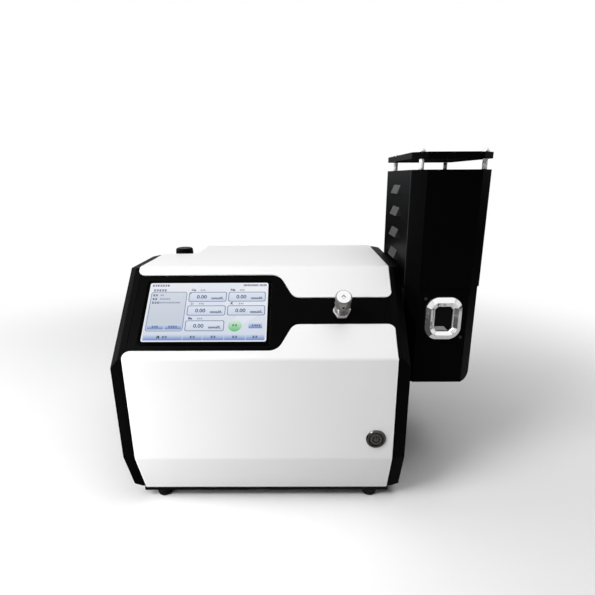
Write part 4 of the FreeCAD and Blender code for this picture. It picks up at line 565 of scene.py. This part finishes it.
black_fascia = skin("black_fascia", tones=(0.0010, 0.0020), rough=(0.38, 0.08), mottle=10.0,
                    grain=(2200.0, 0.000008), specular=0.015)
eased_copy("front_fascia", black_fascia, 0.3)
display_glass = skin("display_glass", tones=(0.0006, 0.001), rough=(0.07, 0.05), mottle=30.0,
                     grain=(60.0, 0.000001), specular=0.01)
eased_copy("touch_glass", display_glass, 0.35, 3)

# Display picture: what the lit display shows, drawn as flat shapes just above the glass. Five value boxes
# with units, an information box, a round green button, small blue buttons and a bar of five menu buttons.
picture_x, picture_s = -147.5, 25.2
picture_width, picture_height = 154.08, 84.8
glass_front = -2.0
picture_points, picture_faces, picture_inks = [], [], []


def tone_of(*levels):
    """Linear colour for levels of 0 to 255 on a screen."""
    return tuple(((level / 255 + 0.055) / 1.055) ** 2.4 for level in levels)


navy, slate, small_ink = tone_of(44, 48, 104), tone_of(104, 110, 152), tone_of(122, 116, 112)
cell_light, cell_dark = tone_of(224, 232, 243), tone_of(206, 217, 234)
panel_light, panel_dark = tone_of(237, 240, 246), tone_of(210, 218, 234)
rim_white, box_light, box_dark = tone_of(247, 249, 252), tone_of(212, 219, 230), tone_of(197, 206, 219)
bar_light, bar_dark = tone_of(208, 219, 236), tone_of(84, 128, 198)
green_light, green_dark, green_mark = tone_of(222, 240, 230), tone_of(84, 190, 108), tone_of(122, 206, 62)


def ink(outline, layer, top_color, low_color=None):
    """Add a flat shape of the picture, outlined in millimetres from its top left, shaded from top to foot."""
    low_color = low_color or top_color
    lowest = min(y for x, y in outline)
    span = max(max(y for x, y in outline) - lowest, 0.01)
    start = len(picture_points)
    for x, y in outline:
        share = (y - lowest) / span
        picture_points.append(on_screen(picture_x + x, picture_s + y, glass_front + 0.02 + 0.006 * layer))
        picture_inks.append([a + (b - a) * share for a, b in zip(top_color, low_color)] + [1.0])
    picture_faces.append(list(range(start, start + len(outline))))


def rounded(x0, y0, x1, y1, radius, steps=6):
    """Outline of a rounded rectangle, clockwise from its top left as the picture is seen."""
    points = []
    for cx, cy, start in ((x1 - radius, y0 + radius, -90), (x1 - radius, y1 - radius, 0),
                          (x0 + radius, y1 - radius, 90), (x0 + radius, y0 + radius, 180)):
        for i in range(steps + 1):
            turn = math.radians(start + 90 * i / steps)
            points.append((cx + radius * math.cos(turn), cy + radius * math.sin(turn)))
    return points


def share_box(u0, v0, u1, v1, radius=0.0):
    corners = (u0 * picture_width, v0 * picture_height, u1 * picture_width, v1 * picture_height)
    return rounded(*corners, radius) if radius else rounded(*corners, 0.01, 1)


def glyphs(u, v, count, size, layer, color):
    """A short run of plain block signs that stands for small text, size millimetres high."""
    for i in range(count):
        x = u * picture_width + i * size * 1.12
        y = v * picture_height - size / 2
        for row in range(3):
            ink(rounded(x, y + size * 0.38 * row, x + size * (0.92 - 0.2 * ((i + row) % 2)),
                        y + size * (0.22 + 0.38 * row), 0.01, 1), layer, color)
        stem = x + size * (0.2 + 0.3 * (i % 2))
        ink(rounded(stem, y, stem + size * 0.24, y + size, 0.01, 1), layer, color)


def words(text, u, v, size, layer, color, stretch=1.0, weight=0.04):
    """Plain lettering such as a number or a unit, centred on (u, v), size millimetres high."""
    curve = bpy.data.curves.new("lettering", "FONT")
    curve.body = text
    curve.size = size * 1.38
    curve.align_x = "CENTER"
    curve.align_y = "CENTER"
    curve.resolution_u = 3
    curve.offset = weight
    writer = bpy.data.objects.new("lettering", curve)
    mesh = bpy.data.meshes.new_from_object(writer)
    bpy.data.objects.remove(writer)
    for face in mesh.polygons:
        spots = [mesh.vertices[i].co for i in face.vertices]
        ink([(u * picture_width + p.x * stretch, v * picture_height - p.y) for p in spots], layer, color)


ink(share_box(0.0, 0.0, 1.0, 1.0, 2.6), 0, rim_white)
ink(share_box(0.007, 0.010, 0.993, 0.988, 2.2), 1, panel_light, panel_dark)
ink([(64, 1.2), (118, 1.2), (88, 50), (30, 70)], 2, tone_of(232, 237, 247), tone_of(212, 221, 239))
ink([(126, 1.2), (151.6, 1.2), (151.6, 40), (110, 72)], 2, tone_of(242, 245, 250), tone_of(222, 229, 242))
glyphs(0.020, 0.045, 7, 2.9, 4, navy)
words("00/00/0000 00:00", 0.888, 0.045, 3.1, 4, navy, 1.0, 0.12)
glyphs(0.036, 0.130, 5, 3.1, 4, tone_of(24, 40, 104))
ink(share_box(0.020, 0.158, 0.322, 0.831, 3.4), 3, slate)
ink(share_box(0.025, 0.167, 0.317, 0.822, 2.8), 4, box_light, box_dark)
for v, count in ((0.218, 2), (0.284, 6), (0.348, 12)):
    glyphs(0.038, v, 2 if count < 9 else 3, 2.9, 5, navy)
    glyphs(0.100, v, count, 2.0, 5, slate)
for u0, u1, count in ((0.032, 0.166, 3), (0.176, 0.310, 4)):
    ink(share_box(u0, 0.718, u1, 0.798, 1.0), 5, bar_light, bar_dark)
    glyphs((u0 + u1) / 2 - count * 0.0095, 0.755, count, 2.5, 6, navy)
value_boxes = [("Ca", 0.338, 0.161, 0.655, 0.333), ("Na", 0.669, 0.161, 0.981, 0.333),
               ("Li", 0.338, 0.400, 0.655, 0.571), ("K", 0.669, 0.400, 0.981, 0.571),
               ("Ba", 0.338, 0.654, 0.655, 0.830)]
for label, u0, v0, u1, v1 in value_boxes:
    middle = (v0 + v1) / 2
    words(label, u0 + 0.034, v0 - 0.035, 3.2, 4, navy, 1.12, 0.10 if label == "Li" else 0.19)
    glyphs(u0 + 0.092, v0 - 0.032, 3, 2.0, 4, small_ink)
    ink(share_box(u0, v0, u1, v1, 2.6), 3, slate)
    ink(share_box(u0 + 0.006, v0 + 0.011, u1 - 0.006, v1 - 0.011, 2.0), 4, cell_light, cell_dark)
    words("0.00", u0 + 0.109, middle + 0.004, 5.2, 5, navy, 1.05, 0.15)
    words("mmol/L", u0 + 0.240, middle + 0.026, 3.5, 5, navy, 1.04, 0.17)
ink(share_box(0.343, 0.174, 0.358, 0.204, 0.9), 6, green_mark)
disc_x, disc_y, disc_radius = 0.742 * picture_width, 0.738 * picture_height, 8.5
disc = [(disc_x + disc_radius * math.cos(t / 24 * math.pi), disc_y + disc_radius * math.sin(t / 24 * math.pi))
        for t in range(48)]
ink(disc, 3, green_light, green_dark)
glyphs(0.721, 0.736, 2, 3.0, 4, tone_of(40, 100, 75))
ink(share_box(0.853, 0.700, 0.963, 0.786, 1.0), 3, bar_light, bar_dark)
glyphs(0.880, 0.738, 4, 2.5, 4, navy)
bar_edges = (0.013, 0.330, 0.490, 0.662, 0.834, 0.987)
for u0, u1 in zip(bar_edges, bar_edges[1:]):
    ink(share_box(u0 + 0.002, 0.885, u1 - 0.002, 0.975, 0.5), 3, bar_light, bar_dark)
    glyphs((u0 + u1) / 2 - 0.020 + (0.015 if u0 < 0.1 else 0.0), 0.925, 2, 3.0, 4, navy)
home_x, home_y = 0.135 * picture_width, 0.925 * picture_height
ink([(home_x - 2.4, home_y), (home_x, home_y - 2.3), (home_x + 2.4, home_y), (home_x + 1.7, home_y),
     (home_x + 1.7, home_y + 2.1), (home_x + 0.6, home_y + 2.1), (home_x + 0.6, home_y + 0.6),
     (home_x - 0.6, home_y + 0.6), (home_x - 0.6, home_y + 2.1), (home_x - 1.7, home_y + 2.1),
     (home_x - 1.7, home_y)], 4, tone_of(25, 25, 45))
picture_mesh = bpy.data.meshes.new("display_picture")
picture_mesh.from_pydata(picture_points, [], picture_faces)
picture_layer = picture_mesh.color_attributes.new("ink", "FLOAT_COLOR", "POINT")
for i, color in enumerate(picture_inks):
    picture_layer.data[i].color = color
display_light, light_tree, light_shader = new_shader("display_light")
inked = put(light_tree, "ShaderNodeVertexColor", layer_name="ink")
pixels = put(light_tree, "ShaderNodeTexVoronoi", {"Vector": object_place(light_tree), "Scale": 1400.0})
pixel_tone = put(light_tree, "ShaderNodeMapRange", {
    "Value": pixels.outputs["Distance"], "From Max": 0.6, "To Min": 1.02, "To Max": 0.97})
lit = put(light_tree, "ShaderNodeVectorMath", {
    0: inked.outputs["Color"], "Scale": pixel_tone.outputs["Result"]}, operation="SCALE")
light_tree.links.new(lit.outputs[0], light_shader.inputs["Emission Color"])
light_shader.inputs["Emission Strength"].default_value = 0.92
light_shader.inputs["Base Color"].default_value = shade(0.02)
light_shader.inputs["Roughness"].default_value = 0.12
light_shader.inputs["Specular IOR Level"].default_value = 0.25
new_piece("display_picture", picture_mesh, display_light, "touch_glass", False)

# Power button: a dark metal push button with a stepped flange, held by a nut from behind. Fine turned rings
# run round its face, and the cap carries a dark power sign. The cap slides in the body.
button_out = Vector((0.0, -0.999896, -0.014418))
cap_low, cap_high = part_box("power_button_cap")
cap_middle = (cap_low + cap_high) / 2
button_face = cap_middle + button_out * 3.0 * mm
gunmetal = make_material("turned_gunmetal", turned_effect, tones=(shade(0.076, 0.05), shade(0.050, 0.04)),
                         rough=(0.26, 0.20), feeds={"Ring Scale": 900.0, "Depth": 0.00001,
                         "Center": button_face, "Axis": button_out}, metallic=0.4)
polished_dark = make_material("polished_dark", turned_effect,
                              tones=(shade(0.09, 0.02), shade(0.075, 0.02)), rough=(0.08, 0.04),
                              feeds={"Ring Scale": 900.0, "Depth": 0.0000005, "Center": button_face,
                              "Axis": button_out}, metallic=1.0)
button_origin = button_face / mm - button_out * 1.6
body_profile = [(8.3, -6.4), (8.3, 0.9), (8.5, 1.1), (9.2, 1.1), (9.4, 1.3), (9.6, 1.9), (9.8, 2.1),
                (11.2, 2.1), (11.3, 2.2), (11.5, 2.1), (12.6, 0.74), (12.7, 0.6), (12.7, 0.0), (11.0, 0.0),
                (11.0, -3.0), (10.7, -3.3), (11.0, -3.6), (11.0, -26.4), (10.4, -27.0), (0.0, -27.0),
                (0.0, -6.4)]
body_mesh = aimed(turned(body_profile, 96, False), button_origin, button_out)
button_body = new_piece("power_button_body_turned", body_mesh, gunmetal, "power_button_body")
cap_profile = [(0.0, -4.4), (7.6, -4.4), (8.0, -4.0), (8.0, 1.0), (7.75, 1.45), (7.2, 1.6), (6.3, 1.6),
               (6.1, 1.42), (5.6, 1.42), (5.4, 1.6), (0.0, 1.6)]
cap_mesh = aimed(turned(cap_profile, 96, False), button_origin, button_out)
new_piece("power_button_cap_turned", cap_mesh, gunmetal, "power_button_cap")
eased_copy("power_button_nut", steel, 0.3)


def flat_mesh(outlines, thickness):
    """Thin plates in the XY plane from outlines in millimetres, thickness high."""
    shape = bmesh.new()
    for outline in outlines:
        face = shape.faces.new([shape.verts.new((x * mm, y * mm, 0)) for x, y in outline])
        raised = bmesh.ops.extrude_face_region(shape, geom=[face])["geom"]
        tops = [v for v in raised if isinstance(v, bmesh.types.BMVert)]
        bmesh.ops.translate(shape, vec=(0, 0, thickness * mm), verts=tops)
    bmesh.ops.recalc_face_normals(shape, faces=shape.faces)
    return mesh_from(shape, "flat")


def arc_band(inner, outer, start, end, steps=32):
    turns = [math.radians(start + (end - start) * i / steps) for i in range(steps + 1)]
    rim = [(outer * math.cos(t), outer * math.sin(t)) for t in turns]
    return rim + [(inner * math.cos(t), inner * math.sin(t)) for t in reversed(turns)]


def bar(x0, y0, x1, y1):
    return [(x0, y0), (x1, y0), (x1, y1), (x0, y1)]


def faced(mesh, origin, direction):
    """Stand a flat mesh on a point in millimetres with its Z along direction and its Y upwards."""
    normal = Vector(direction).normalized()
    side = Vector((0, 0, 1)).cross(normal).normalized()
    basis = Matrix((side, normal.cross(side), normal)).transposed().to_4x4()
    mesh.transform(Matrix.Translation(Vector(origin) * mm) @ basis)
    return mesh


def from_button_axis(middle):
    return (middle - button_origin).cross(button_out).length


mark_black = skin("printed_black", tones=(0.002, 0.004), rough=(0.5, 0.08), specular=0.05)
recolor(button_body, mark_black, lambda middle, normal: from_button_axis(middle) < 9.5)
recolor(button_body, polished_dark, lambda middle, normal: from_button_axis(middle) > 11.3)
power_sign = [arc_band(3.3, 4.7, 122, 418), bar(-0.65, 0.5, 0.65, 5.2)]
new_piece("power_sign", faced(flat_mesh(power_sign, 0.04), button_origin + button_out * 1.59, button_out),
          mark_black, "power_button_cap", False)

# Fuel valve: a plated hexagon nut clamps the chromed valve body's neck in the fascia. A turned steel knob
# with a bright faced end, a diamond socket and a set screw sits on the needle and turns with it.
valve_center = screen_top + Vector((100.7, 0, 0)) + screen_down * 68.4
chrome = skin("polished_chrome", tones=(0.96, 0.92), rough=(0.07, 0.05), mottle=40.0,
              grain=(500.0, 0.0000015), metallic=1.0)
satin_nickel = skin("satin_nickel", tones=(0.90, 0.84), rough=(0.20, 0.08), mottle=60.0,
                    grain=(900.0, 0.000003), metallic=0.25)
brass = make_material("machined_brass", turned_effect,
                      tones=((0.72, 0.50, 0.20, 1.0), (0.60, 0.40, 0.15, 1.0)), rough=(0.28, 0.16),
                      feeds={"Center": valve_center * mm, "Axis": screen_out, "Ring Scale": 1600.0},
                      metallic=1.0)
knob_steel = make_material("turned_steel", turned_effect, tones=(shade(0.26, 0.03), shade(0.15, 0.03)),
                           rough=(0.24, 0.16), feeds={"Center": valve_center * mm, "Axis": screen_out,
                           "Ring Scale": 1900.0, "Depth": 0.000006}, metallic=0.35)
eased_copy("fuel_valve_body", chrome, 0.4)
nut = eased_copy("fuel_valve_nut", satin_nickel, 0.9, 2)
# The nut's front face is painted darker in turned steel: a painted shade.
recolor(nut, knob_steel, lambda middle, normal: normal.dot(screen_out) > 0.9)
eased_copy("fuel_valve_needle", steel, 0.2)
knob = eased_copy("fuel_valve_knob", knob_steel, 0.35, 3)
recolor(knob, chrome, lambda middle, normal: normal.dot(screen_out) > 0.9)
knob_end = max(v.co.dot(screen_out) for v in nodes["fuel_valve_knob"].data.vertices) / mm
socket_place = valve_center + screen_out * (knob_end - valve_center.dot(screen_out) + 0.01)
# A darker diamond band round the socket on the bright end: painted shade for the socket's inner walls.
socket_painted_shade_mesh = faced(flat_mesh([arc_band(2.5, 3.1, 0, 359.9, 4)], 0.02), socket_place, screen_out)
new_piece("knob_socket_edge", socket_painted_shade_mesh, knob_steel, "fuel_valve_knob", False)
eased_copy("knob_set_screw", mark_black, 0.12)

# Air regulator: a die-cast aluminium body hangs under the recess deck on a black clamping ring. Its ribbed
# black plastic knob lifts off its lock and turns the spindle. The deck is folded sheet, coated white.
cast_aluminium = skin("cast_aluminium", tones=(0.42, 0.33), rough=(0.46, 0.14), mottle=70.0,
                      grain=(1600.0, 0.00003), metallic=0.85)
black_plastic = skin("black_plastic", tones=(0.0018, 0.0035), rough=(0.36, 0.10), mottle=40.0,
                     grain=(2600.0, 0.000012), specular=0.03)
eased_copy("regulator_deck", white_coat, 0.3)
eased_copy("air_regulator_body", cast_aluminium, 0.5)
eased_copy("air_regulator_ring", black_plastic, 0.35, 3)
eased_copy("air_regulator_stem", steel, 0.3)
knob_middle = Vector((-138.0, 72.0, 0.0)) * mm
knob_profile = [(4.2, 290.2), (12.4, 290.2), (12.8, 290.6), (12.8, 311.8), (13.2, 312.2), (13.2, 313.4),
                (13.0, 314.6), (12.4, 315.6), (11.4, 316.3), (10.2, 316.6), (9.4, 316.3), (0.0, 316.3),
                (0.0, 312.0), (4.2, 312.0)]
rib_profile = [(0.0, 291.0), (0.6, 291.0), (0.9, 291.4), (0.9, 311.6), (0.6, 312.1), (0.0, 312.1)]
on_ring = repeat_tree("pieces_on_ring", [("Count", "Int"), ("Radius", "Float")],
                      lambda tree, given: put(tree, "GeometryNodeMeshCircle", {
                          "Vertices": given["Count"], "Radius": given["Radius"]}).outputs[0])
knob_core = turned(knob_profile, 96, False)
knob_core.transform(Matrix.Translation(knob_middle))
new_piece("air_regulator_knob_core", knob_core, black_plastic, "air_regulator_knob")
knob_ribs = repeated("air_regulator_knob_ribs", on_ring, turned(rib_profile, 12, False), black_plastic,
                     "air_regulator_knob", Count=36, Radius=12.55 * mm)
knob_ribs.data.transform(Matrix.Translation(knob_middle))

# Rear panel: a flat steel sheet with a light grey coat, closed with six cross-head screws. It carries the
# fan, the mains inlet, the data port and the two gas fittings.
grey_coat = skin("grey_powder_coat", tones=(shade(0.46, 0.01), shade(0.42, 0.01)), rough=(0.46, 0.08),
                 mottle=9.0, grain=(900.0, 0.00003), specular=0.35)
eased_copy("rear_panel", grey_coat, 0.25)
eased_copy("rear_panel_screws", steel, 0.15)

# Gas fittings and lines: brass hose nipples clamped in the rear panel, and clear nylon tubes that lead from
# the shut-off valve and the regulator to the valve, the burner and the nebuliser.
brass_fitting = make_material("brass_fitting", turned_effect,
                              tones=((0.70, 0.48, 0.19, 1.0), (0.58, 0.38, 0.14, 1.0)), rough=(0.26, 0.18),
                              feeds={"Axis": (0.0, 1.0, 0.0), "Center": (0.1007, 0.15, 0.048),
                              "Ring Scale": 1500.0}, metallic=1.0)
tubing = skin("nylon_tubing", tones=((0.78, 0.80, 0.78, 1.0), (0.68, 0.71, 0.68, 1.0)), rough=(0.24, 0.08),
              mottle=50.0, grain=(300.0, 0.00001), clear=0.45, ior=1.5)
for gas in ("air", "fuel"):
    eased_copy(gas + "_inlet_fitting", brass_fitting, 0.2)
eased_copy("fuel_shutoff_valve", brass, 0.5)


def dress(node, material):
    """Give a CAD node that is shown as it is its material."""
    nodes[node].data.materials.clear()
    nodes[node].data.materials.append(material)


for line in ("fuel_line", "burner_line", "air_line"):
    dress(line, tubing)

# Fan: a square black frame with its motor on four struts, a seven-bladed rotor, and a guard of bright wire
# rings outside the panel.
grey_black_plastic = skin("grey_black_plastic", tones=(0.017, 0.024), rough=(0.42, 0.10), mottle=40.0,
                          grain=(2600.0, 0.00002), specular=0.35)
eased_copy("cooling_fan_frame", grey_black_plastic, 0.3)
eased_copy("cooling_fan_rotor", grey_black_plastic, 0.2)
fan_x, fan_z, wire_y, wire_radius = 30.0, 203.0, 152.0, 0.8
wire_section = [(math.cos(math.pi * i / 4), math.sin(math.pi * i / 4)) for i in range(8)]


def merged(meshes):
    """One mesh from several."""
    shape = bmesh.new()
    for mesh in meshes:
        shape.from_mesh(mesh)
    return smooth(mesh_from(shape, "merged"))


guard_parts = []
for i in range(4):
    ring = [(6.6 * (i + 1) + wire_radius * a, wire_radius * b) for a, b in wire_section]
    guard_parts.append(aimed(turned(ring, 72), (fan_x, wire_y, fan_z), (0, 1, 0)))
for side_x in (-1, 1):
    for side_z in (-1, 1):
        corner_x, corner_z = fan_x + 26.0 * side_x, fan_z + 26.0 * side_z
        spoke = [(0.0, 0.0), (wire_radius, 0.0), (wire_radius, 36.0), (0.0, 36.0)]
        eye = [(0.0, 0.0), (2.4, 0.0), (2.4, 1.9), (1.6, 2.8), (0.0, 2.8)]
        inward = (-side_x, 0, -side_z)
        guard_parts.append(aimed(turned(spoke, 12, False), (corner_x, wire_y, corner_z), inward))
        guard_parts.append(aimed(turned(eye, 24, False), (corner_x, 150.0, corner_z), (0, 1, 0)))
new_piece("fan_guard_wires", merged(guard_parts), chrome, "fan_guard")

# Mains inlet: a black moulding with a three-pin socket, a fuse drawer and a rocker switch. The rocker carries
# the usual I and O, and the pins are nickel plated.
inlet_x, socket_z, pin_offsets = -110.0, 50.0, (-7.0, 0.0, 7.0)
inlet = eased_copy("mains_inlet", grey_black_plastic, 0.3)
recolor(inlet, steel, lambda middle, normal: 135.6 < middle.y < 146.0 and abs(middle.z - socket_z) < 5.0
        and min(abs(middle.x - inlet_x + offset) for offset in pin_offsets) < 1.2)
eased_copy("mains_switch_rocker", grey_black_plastic, 0.3)
mark_white = skin("printed_white", tones=(0.75, 0.7), rough=(0.5, 0.08), specular=0.3)
rocker_marks = {
    "rocker_on_mark": ([bar(-0.35, -2.0, 0.35, 2.0)], (inlet_x, 153.07, 96.79), (0.0, 0.991, -0.1351)),
    "rocker_off_mark": ([arc_band(1.5, 2.1, 0, 359.9)], (inlet_x, 154.25, 88.38), (0.0, 0.9153, 0.4031))}
for name, (outlines, place, facing) in rocker_marks.items():
    new_piece(name, faced(flat_mesh(outlines, 0.05), place, facing), mark_white, "mains_switch_rocker", False)
eased_copy("fuse_drawer", grey_black_plastic, 0.25)
port = eased_copy("data_port", steel, 0.2)
recolor(port, grey_black_plastic, lambda middle, normal: middle.y > 151.8 and abs(middle.x + 20.0) < 7.0
        and normal.y > 0.9)

# Electronics: the display module and its board, the main board on brass standoffs, and the power supply.
green_board = skin("green_board", tones=((0.02, 0.16, 0.06, 1.0), (0.015, 0.11, 0.045, 1.0)),
                   rough=(0.35, 0.1), mottle=220.0, grain=(1200.0, 0.00003))
eased_copy("display_module", steel, 0.3)
eased_copy("display_board", green_board, 0.1)
board = eased_copy("main_board", green_board, 0.1)
recolor(board, grey_black_plastic, lambda middle, normal: middle.z > 26.7)
eased_copy("board_standoffs", brass, 0.2)
eased_copy("power_supply", steel, 0.4)

# Optics: an anodised block with a light tube to the burner, a lens, five colour filters and five detectors.
dark_anodised = skin("dark_anodised", tones=(0.03, 0.045), rough=(0.42, 0.1), mottle=60.0,
                     grain=(2400.0, 0.00001), metallic=0.5)
optical_glass = skin("optical_glass", tones=(0.55, 0.5), rough=(0.03, 0.02), mottle=30.0,
                     grain=(40.0, 0.0000005), clear=0.9, ior=1.5)
eased_copy("optical_block", dark_anodised, 0.4)
dress("collimating_lens", optical_glass)
dress("optical_filters", optical_glass)
eased_copy("photodiodes", steel, 0.15)

# Tower: a burner box and a chimney shell of folded steel sheet, painted semi-gloss black. The shell slips
# over the box, and four pressed louvres let air in on its left side. That wall is painted lighter towards
# its top as a painted sheen. The louvres' upper faces and the front left corner edge are painted lighter
# too, as painted highlights.
tower_coat = {"tones": (0.0012, 0.0020), "rough": (0.36, 0.06), "mottle": 11.0, "grain": (1500.0, 0.000006),
              "specular": 0.02}
tower_paint = skin("tower_paint", **tower_coat)
# This copy's colour is painted lighter towards the top of the wall: a painted sheen.
wall_paint_painted_sheen = skin("tower_paint_painted_sheen", **tower_coat)
paint_tree = wall_paint_painted_sheen.node_tree
spot_height = put(paint_tree, "ShaderNodeSeparateXYZ", {"Vector": object_place(paint_tree)}).outputs["Z"]
paint_shader = paint_tree.nodes["Principled BSDF"]
painted_sheen_mix = put(paint_tree, "ShaderNodeMix", {
    0: ramp(paint_tree, spot_height, 0.31, 0.445), 6: paint_shader.inputs["Base Color"].links[0].from_socket,
    7: shade(0.009, -0.08)}, data_type="RGBA")
paint_tree.links.new(painted_sheen_mix.outputs[2], paint_shader.inputs["Base Color"])
# Lighter paint for the louvres' upper faces and the front left corner: a painted highlight.
louvre_and_edge_painted_highlight = skin("louvre_and_edge_painted_highlight", tones=(0.034, 0.028), rough=(0.5, 0.1), mottle=60.0,
                    grain=(1500.0, 0.00001), specular=0.2)
eased_copy("tower_mount_plate", black_paint, 0.4)
eased_copy("burner_box", tower_paint, 0.7, 3)


def is_front_left_corner(edge):
    """Upright edge of the chimney shell between its left wall and its front chamfer."""
    low, high = sorted((v.co for v in edge.verts), key=lambda co: co.z)
    return high.z - low.z > 0.1 and low.x < 184.2 * mm and low.y < -40.0 * mm


shell_corner = ((is_front_left_corner, 1.0 * mm, 3),)
shell = eased_copy("chimney_shell", tower_paint, 0.3, 2, 14.0, shell_corner, 0.00003)
# The left wall takes the copy with the painted sheen towards its top.
recolor(shell, wall_paint_painted_sheen, lambda middle, normal: normal.x < -0.9)
# Upper faces of the louvres: painted highlight.
recolor(shell, louvre_and_edge_painted_highlight, lambda middle, normal:
        middle.x < 183.7 and normal.x < -0.5 and abs(normal.y) < 0.15 and normal.z > 0.05)
# Front left corner edge of the shell: a painted highlight line.
recolor(shell, louvre_and_edge_painted_highlight, lambda middle, normal:
        middle.x < 184.5 and middle.y < -40.0 and middle.z > 340.0
        and -0.98 < normal.x < -0.75 and normal.y < -0.1)
eased_copy("chimney_liner", steel, 0.3)
eased_copy("chimney_lid", tower_paint, 0.8, 3)
standoff_profile = [(0.0, 428.0), (2.0, 428.0), (2.0, 431.5), (2.7, 431.5), (3.0, 431.8), (3.0, 443.7),
                    (2.7, 444.0), (2.0, 444.0), (2.0, 454.4), (1.8, 454.6), (0.0, 454.6)]
bright_nickel = skin("bright_nickel", tones=(0.97, 0.93), rough=(0.24, 0.08), mottle=60.0,
                     grain=(900.0, 0.000003), metallic=0.05)
standoff_points = [(x, y, 0) for x in (195.0, 271.0) for y in (-76.0, 84.0)]
repeated("lid_standoffs_turned", at_points, turned(standoff_profile, 48, False), bright_nickel,
         "lid_standoffs", points_mesh(standoff_points))
eased_copy("lid_dome_nuts", satin_nickel, 0.2)

# Window: a cast and polished rim round a dark heat-proof glass, through which the flame is seen, held by
# small slotted screws. A grey wedge along the foot of the opening, in front of the glass, is painted
# light that stands for the lit sill seen in the glass.
window_glass = skin("smoked_glass", tones=(0.0015, 0.002), rough=(0.06, 0.04), mottle=40.0,
                    grain=(80.0, 0.000001), specular=0.1)
rim_low, rim_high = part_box("window_rim")
rim_center = (rim_low + rim_high) / 2
rim_sections = [(46.6, 57.0, 14.0, 0.0), (46.6, 57.0, 14.0, 1.7), (46.1, 56.5, 13.8, 2.3),
                (36.0, 44.8, 9.6, 5.8), (35.4, 44.2, 9.3, 6.0), (34.8, 43.6, 9.0, 5.85),
                (26.8, 35.8, 5.4, 2.6), (26.0, 35.0, 5.0, 2.3), (23.4, 32.6, 3.9, 1.9),
                (22.9, 32.1, 3.5, 1.4), (22.9, 32.1, 3.5, 0.0)]


def corner_loop(width, height, radius, flatness, steps=12):
    """Points round a rectangle whose corners are arcs at a flatness of 0 and plain chamfers at 1."""
    points = []
    for side_x, side_z, start in ((1, 1, 0), (-1, 1, 90), (-1, -1, 180), (1, -1, 270)):
        center = Vector((side_x * (width / 2 - radius), side_z * (height / 2 - radius)))
        ends = [Vector((math.cos(math.radians(start + turn)), math.sin(math.radians(start + turn))))
                for turn in (0, 90)]
        for i in range(steps + 1):
            turn = math.radians(start + 90 * i / steps)
            arc = Vector((math.cos(turn), math.sin(turn)))
            points.append(center + arc.lerp(ends[0].lerp(ends[1], i / steps), flatness) * radius)
    return points


def framed(sections, center, back_y):
    """Closed ring from sections in millimetres: width, height, corner radius and distance before its back."""
    shape = bmesh.new()
    loops = []
    for width, height, radius, out in sections:
        flatness = 0.85 if radius < 8 else 0.25
        loops.append([shape.verts.new((center.x + p.x * mm, back_y - out * mm, center.z + p.y * mm))
                      for p in corner_loop(width, height, radius, flatness)])
    for first, second in zip(loops, loops[1:] + loops[:1]):
        for i in range(len(first)):
            j = (i + 1) % len(first)
            shape.faces.new((first[i], first[j], second[j], second[i]))
    bmesh.ops.recalc_face_normals(shape, faces=shape.faces)
    mesh = mesh_from(shape, "framed")
    mesh.shade_smooth()
    mesh.set_sharp_from_angle(angle=math.radians(8.5))
    return mesh


rim_polish = skin("polished_casting", tones=(0.96, 0.92), rough=(0.08, 0.05), mottle=40.0,
                  grain=(500.0, 0.000002), metallic=0.88)
new_piece("window_rim_polished", framed(rim_sections, rim_center, rim_high.y), rim_polish, "window_rim")
# A grey wedge before the glass: painted light standing for the lit sill seen in the glass.
sill_foot = rim_center.z / mm - 15.6
sill_points = [(x + lean * slant, y, z) for x, slant in ((223.4, 0.0), (240.4, 1.0))
               for y, z, lean in ((-88.0, sill_foot, 0.0), (-84.6, sill_foot, -3.4),
                                  (-84.6, sill_foot + 4.2, -4.2), (-85.0, sill_foot + 4.2, -4.0))]
sill_mesh = bpy.data.meshes.new("window_sill")
sill_mesh.from_pydata([Vector(p) * mm for p in sill_points], [],
                      [(3, 2, 1, 0), (4, 5, 6, 7), (0, 1, 5, 4), (1, 2, 6, 5), (2, 3, 7, 6), (3, 0, 4, 7)])
sill_painted_light = make_material("sill_painted_light", brushed_effect, tones=(0.30, 0.16), rough=(0.34, 0.12),
                          feeds={"Stretch": (120.0, 900.0, 2400.0)}, metallic=0.3)
new_piece("window_sill", sill_mesh, sill_painted_light, "window_rim", False)
eased_copy("window_glass", window_glass, 0.3)
eased_copy("window_screws", dark_anodised, 0.12)

# Burner and spray parts: an anodised spray chamber, a brass burner head with a ring of jets, a ceramic
# igniter, and the nebuliser at the rear.
anodised = make_material("clear_anodised", brushed_effect, tones=(0.58, 0.5), rough=(0.34, 0.12),
                         feeds={"Stretch": (900.0, 90.0, 900.0)}, metallic=1.0)
ceramic = skin("white_ceramic", tones=((0.80, 0.78, 0.72, 1.0), (0.74, 0.72, 0.66, 1.0)), rough=(0.5, 0.1),
               mottle=90.0, grain=(2500.0, 0.00002))
eased_copy("spray_chamber", anodised, 0.3)
eased_copy("burner_head", brass, 0.25)
eased_copy("igniter", ceramic, 0.2)
eased_copy("nebuliser", anodised, 0.25)
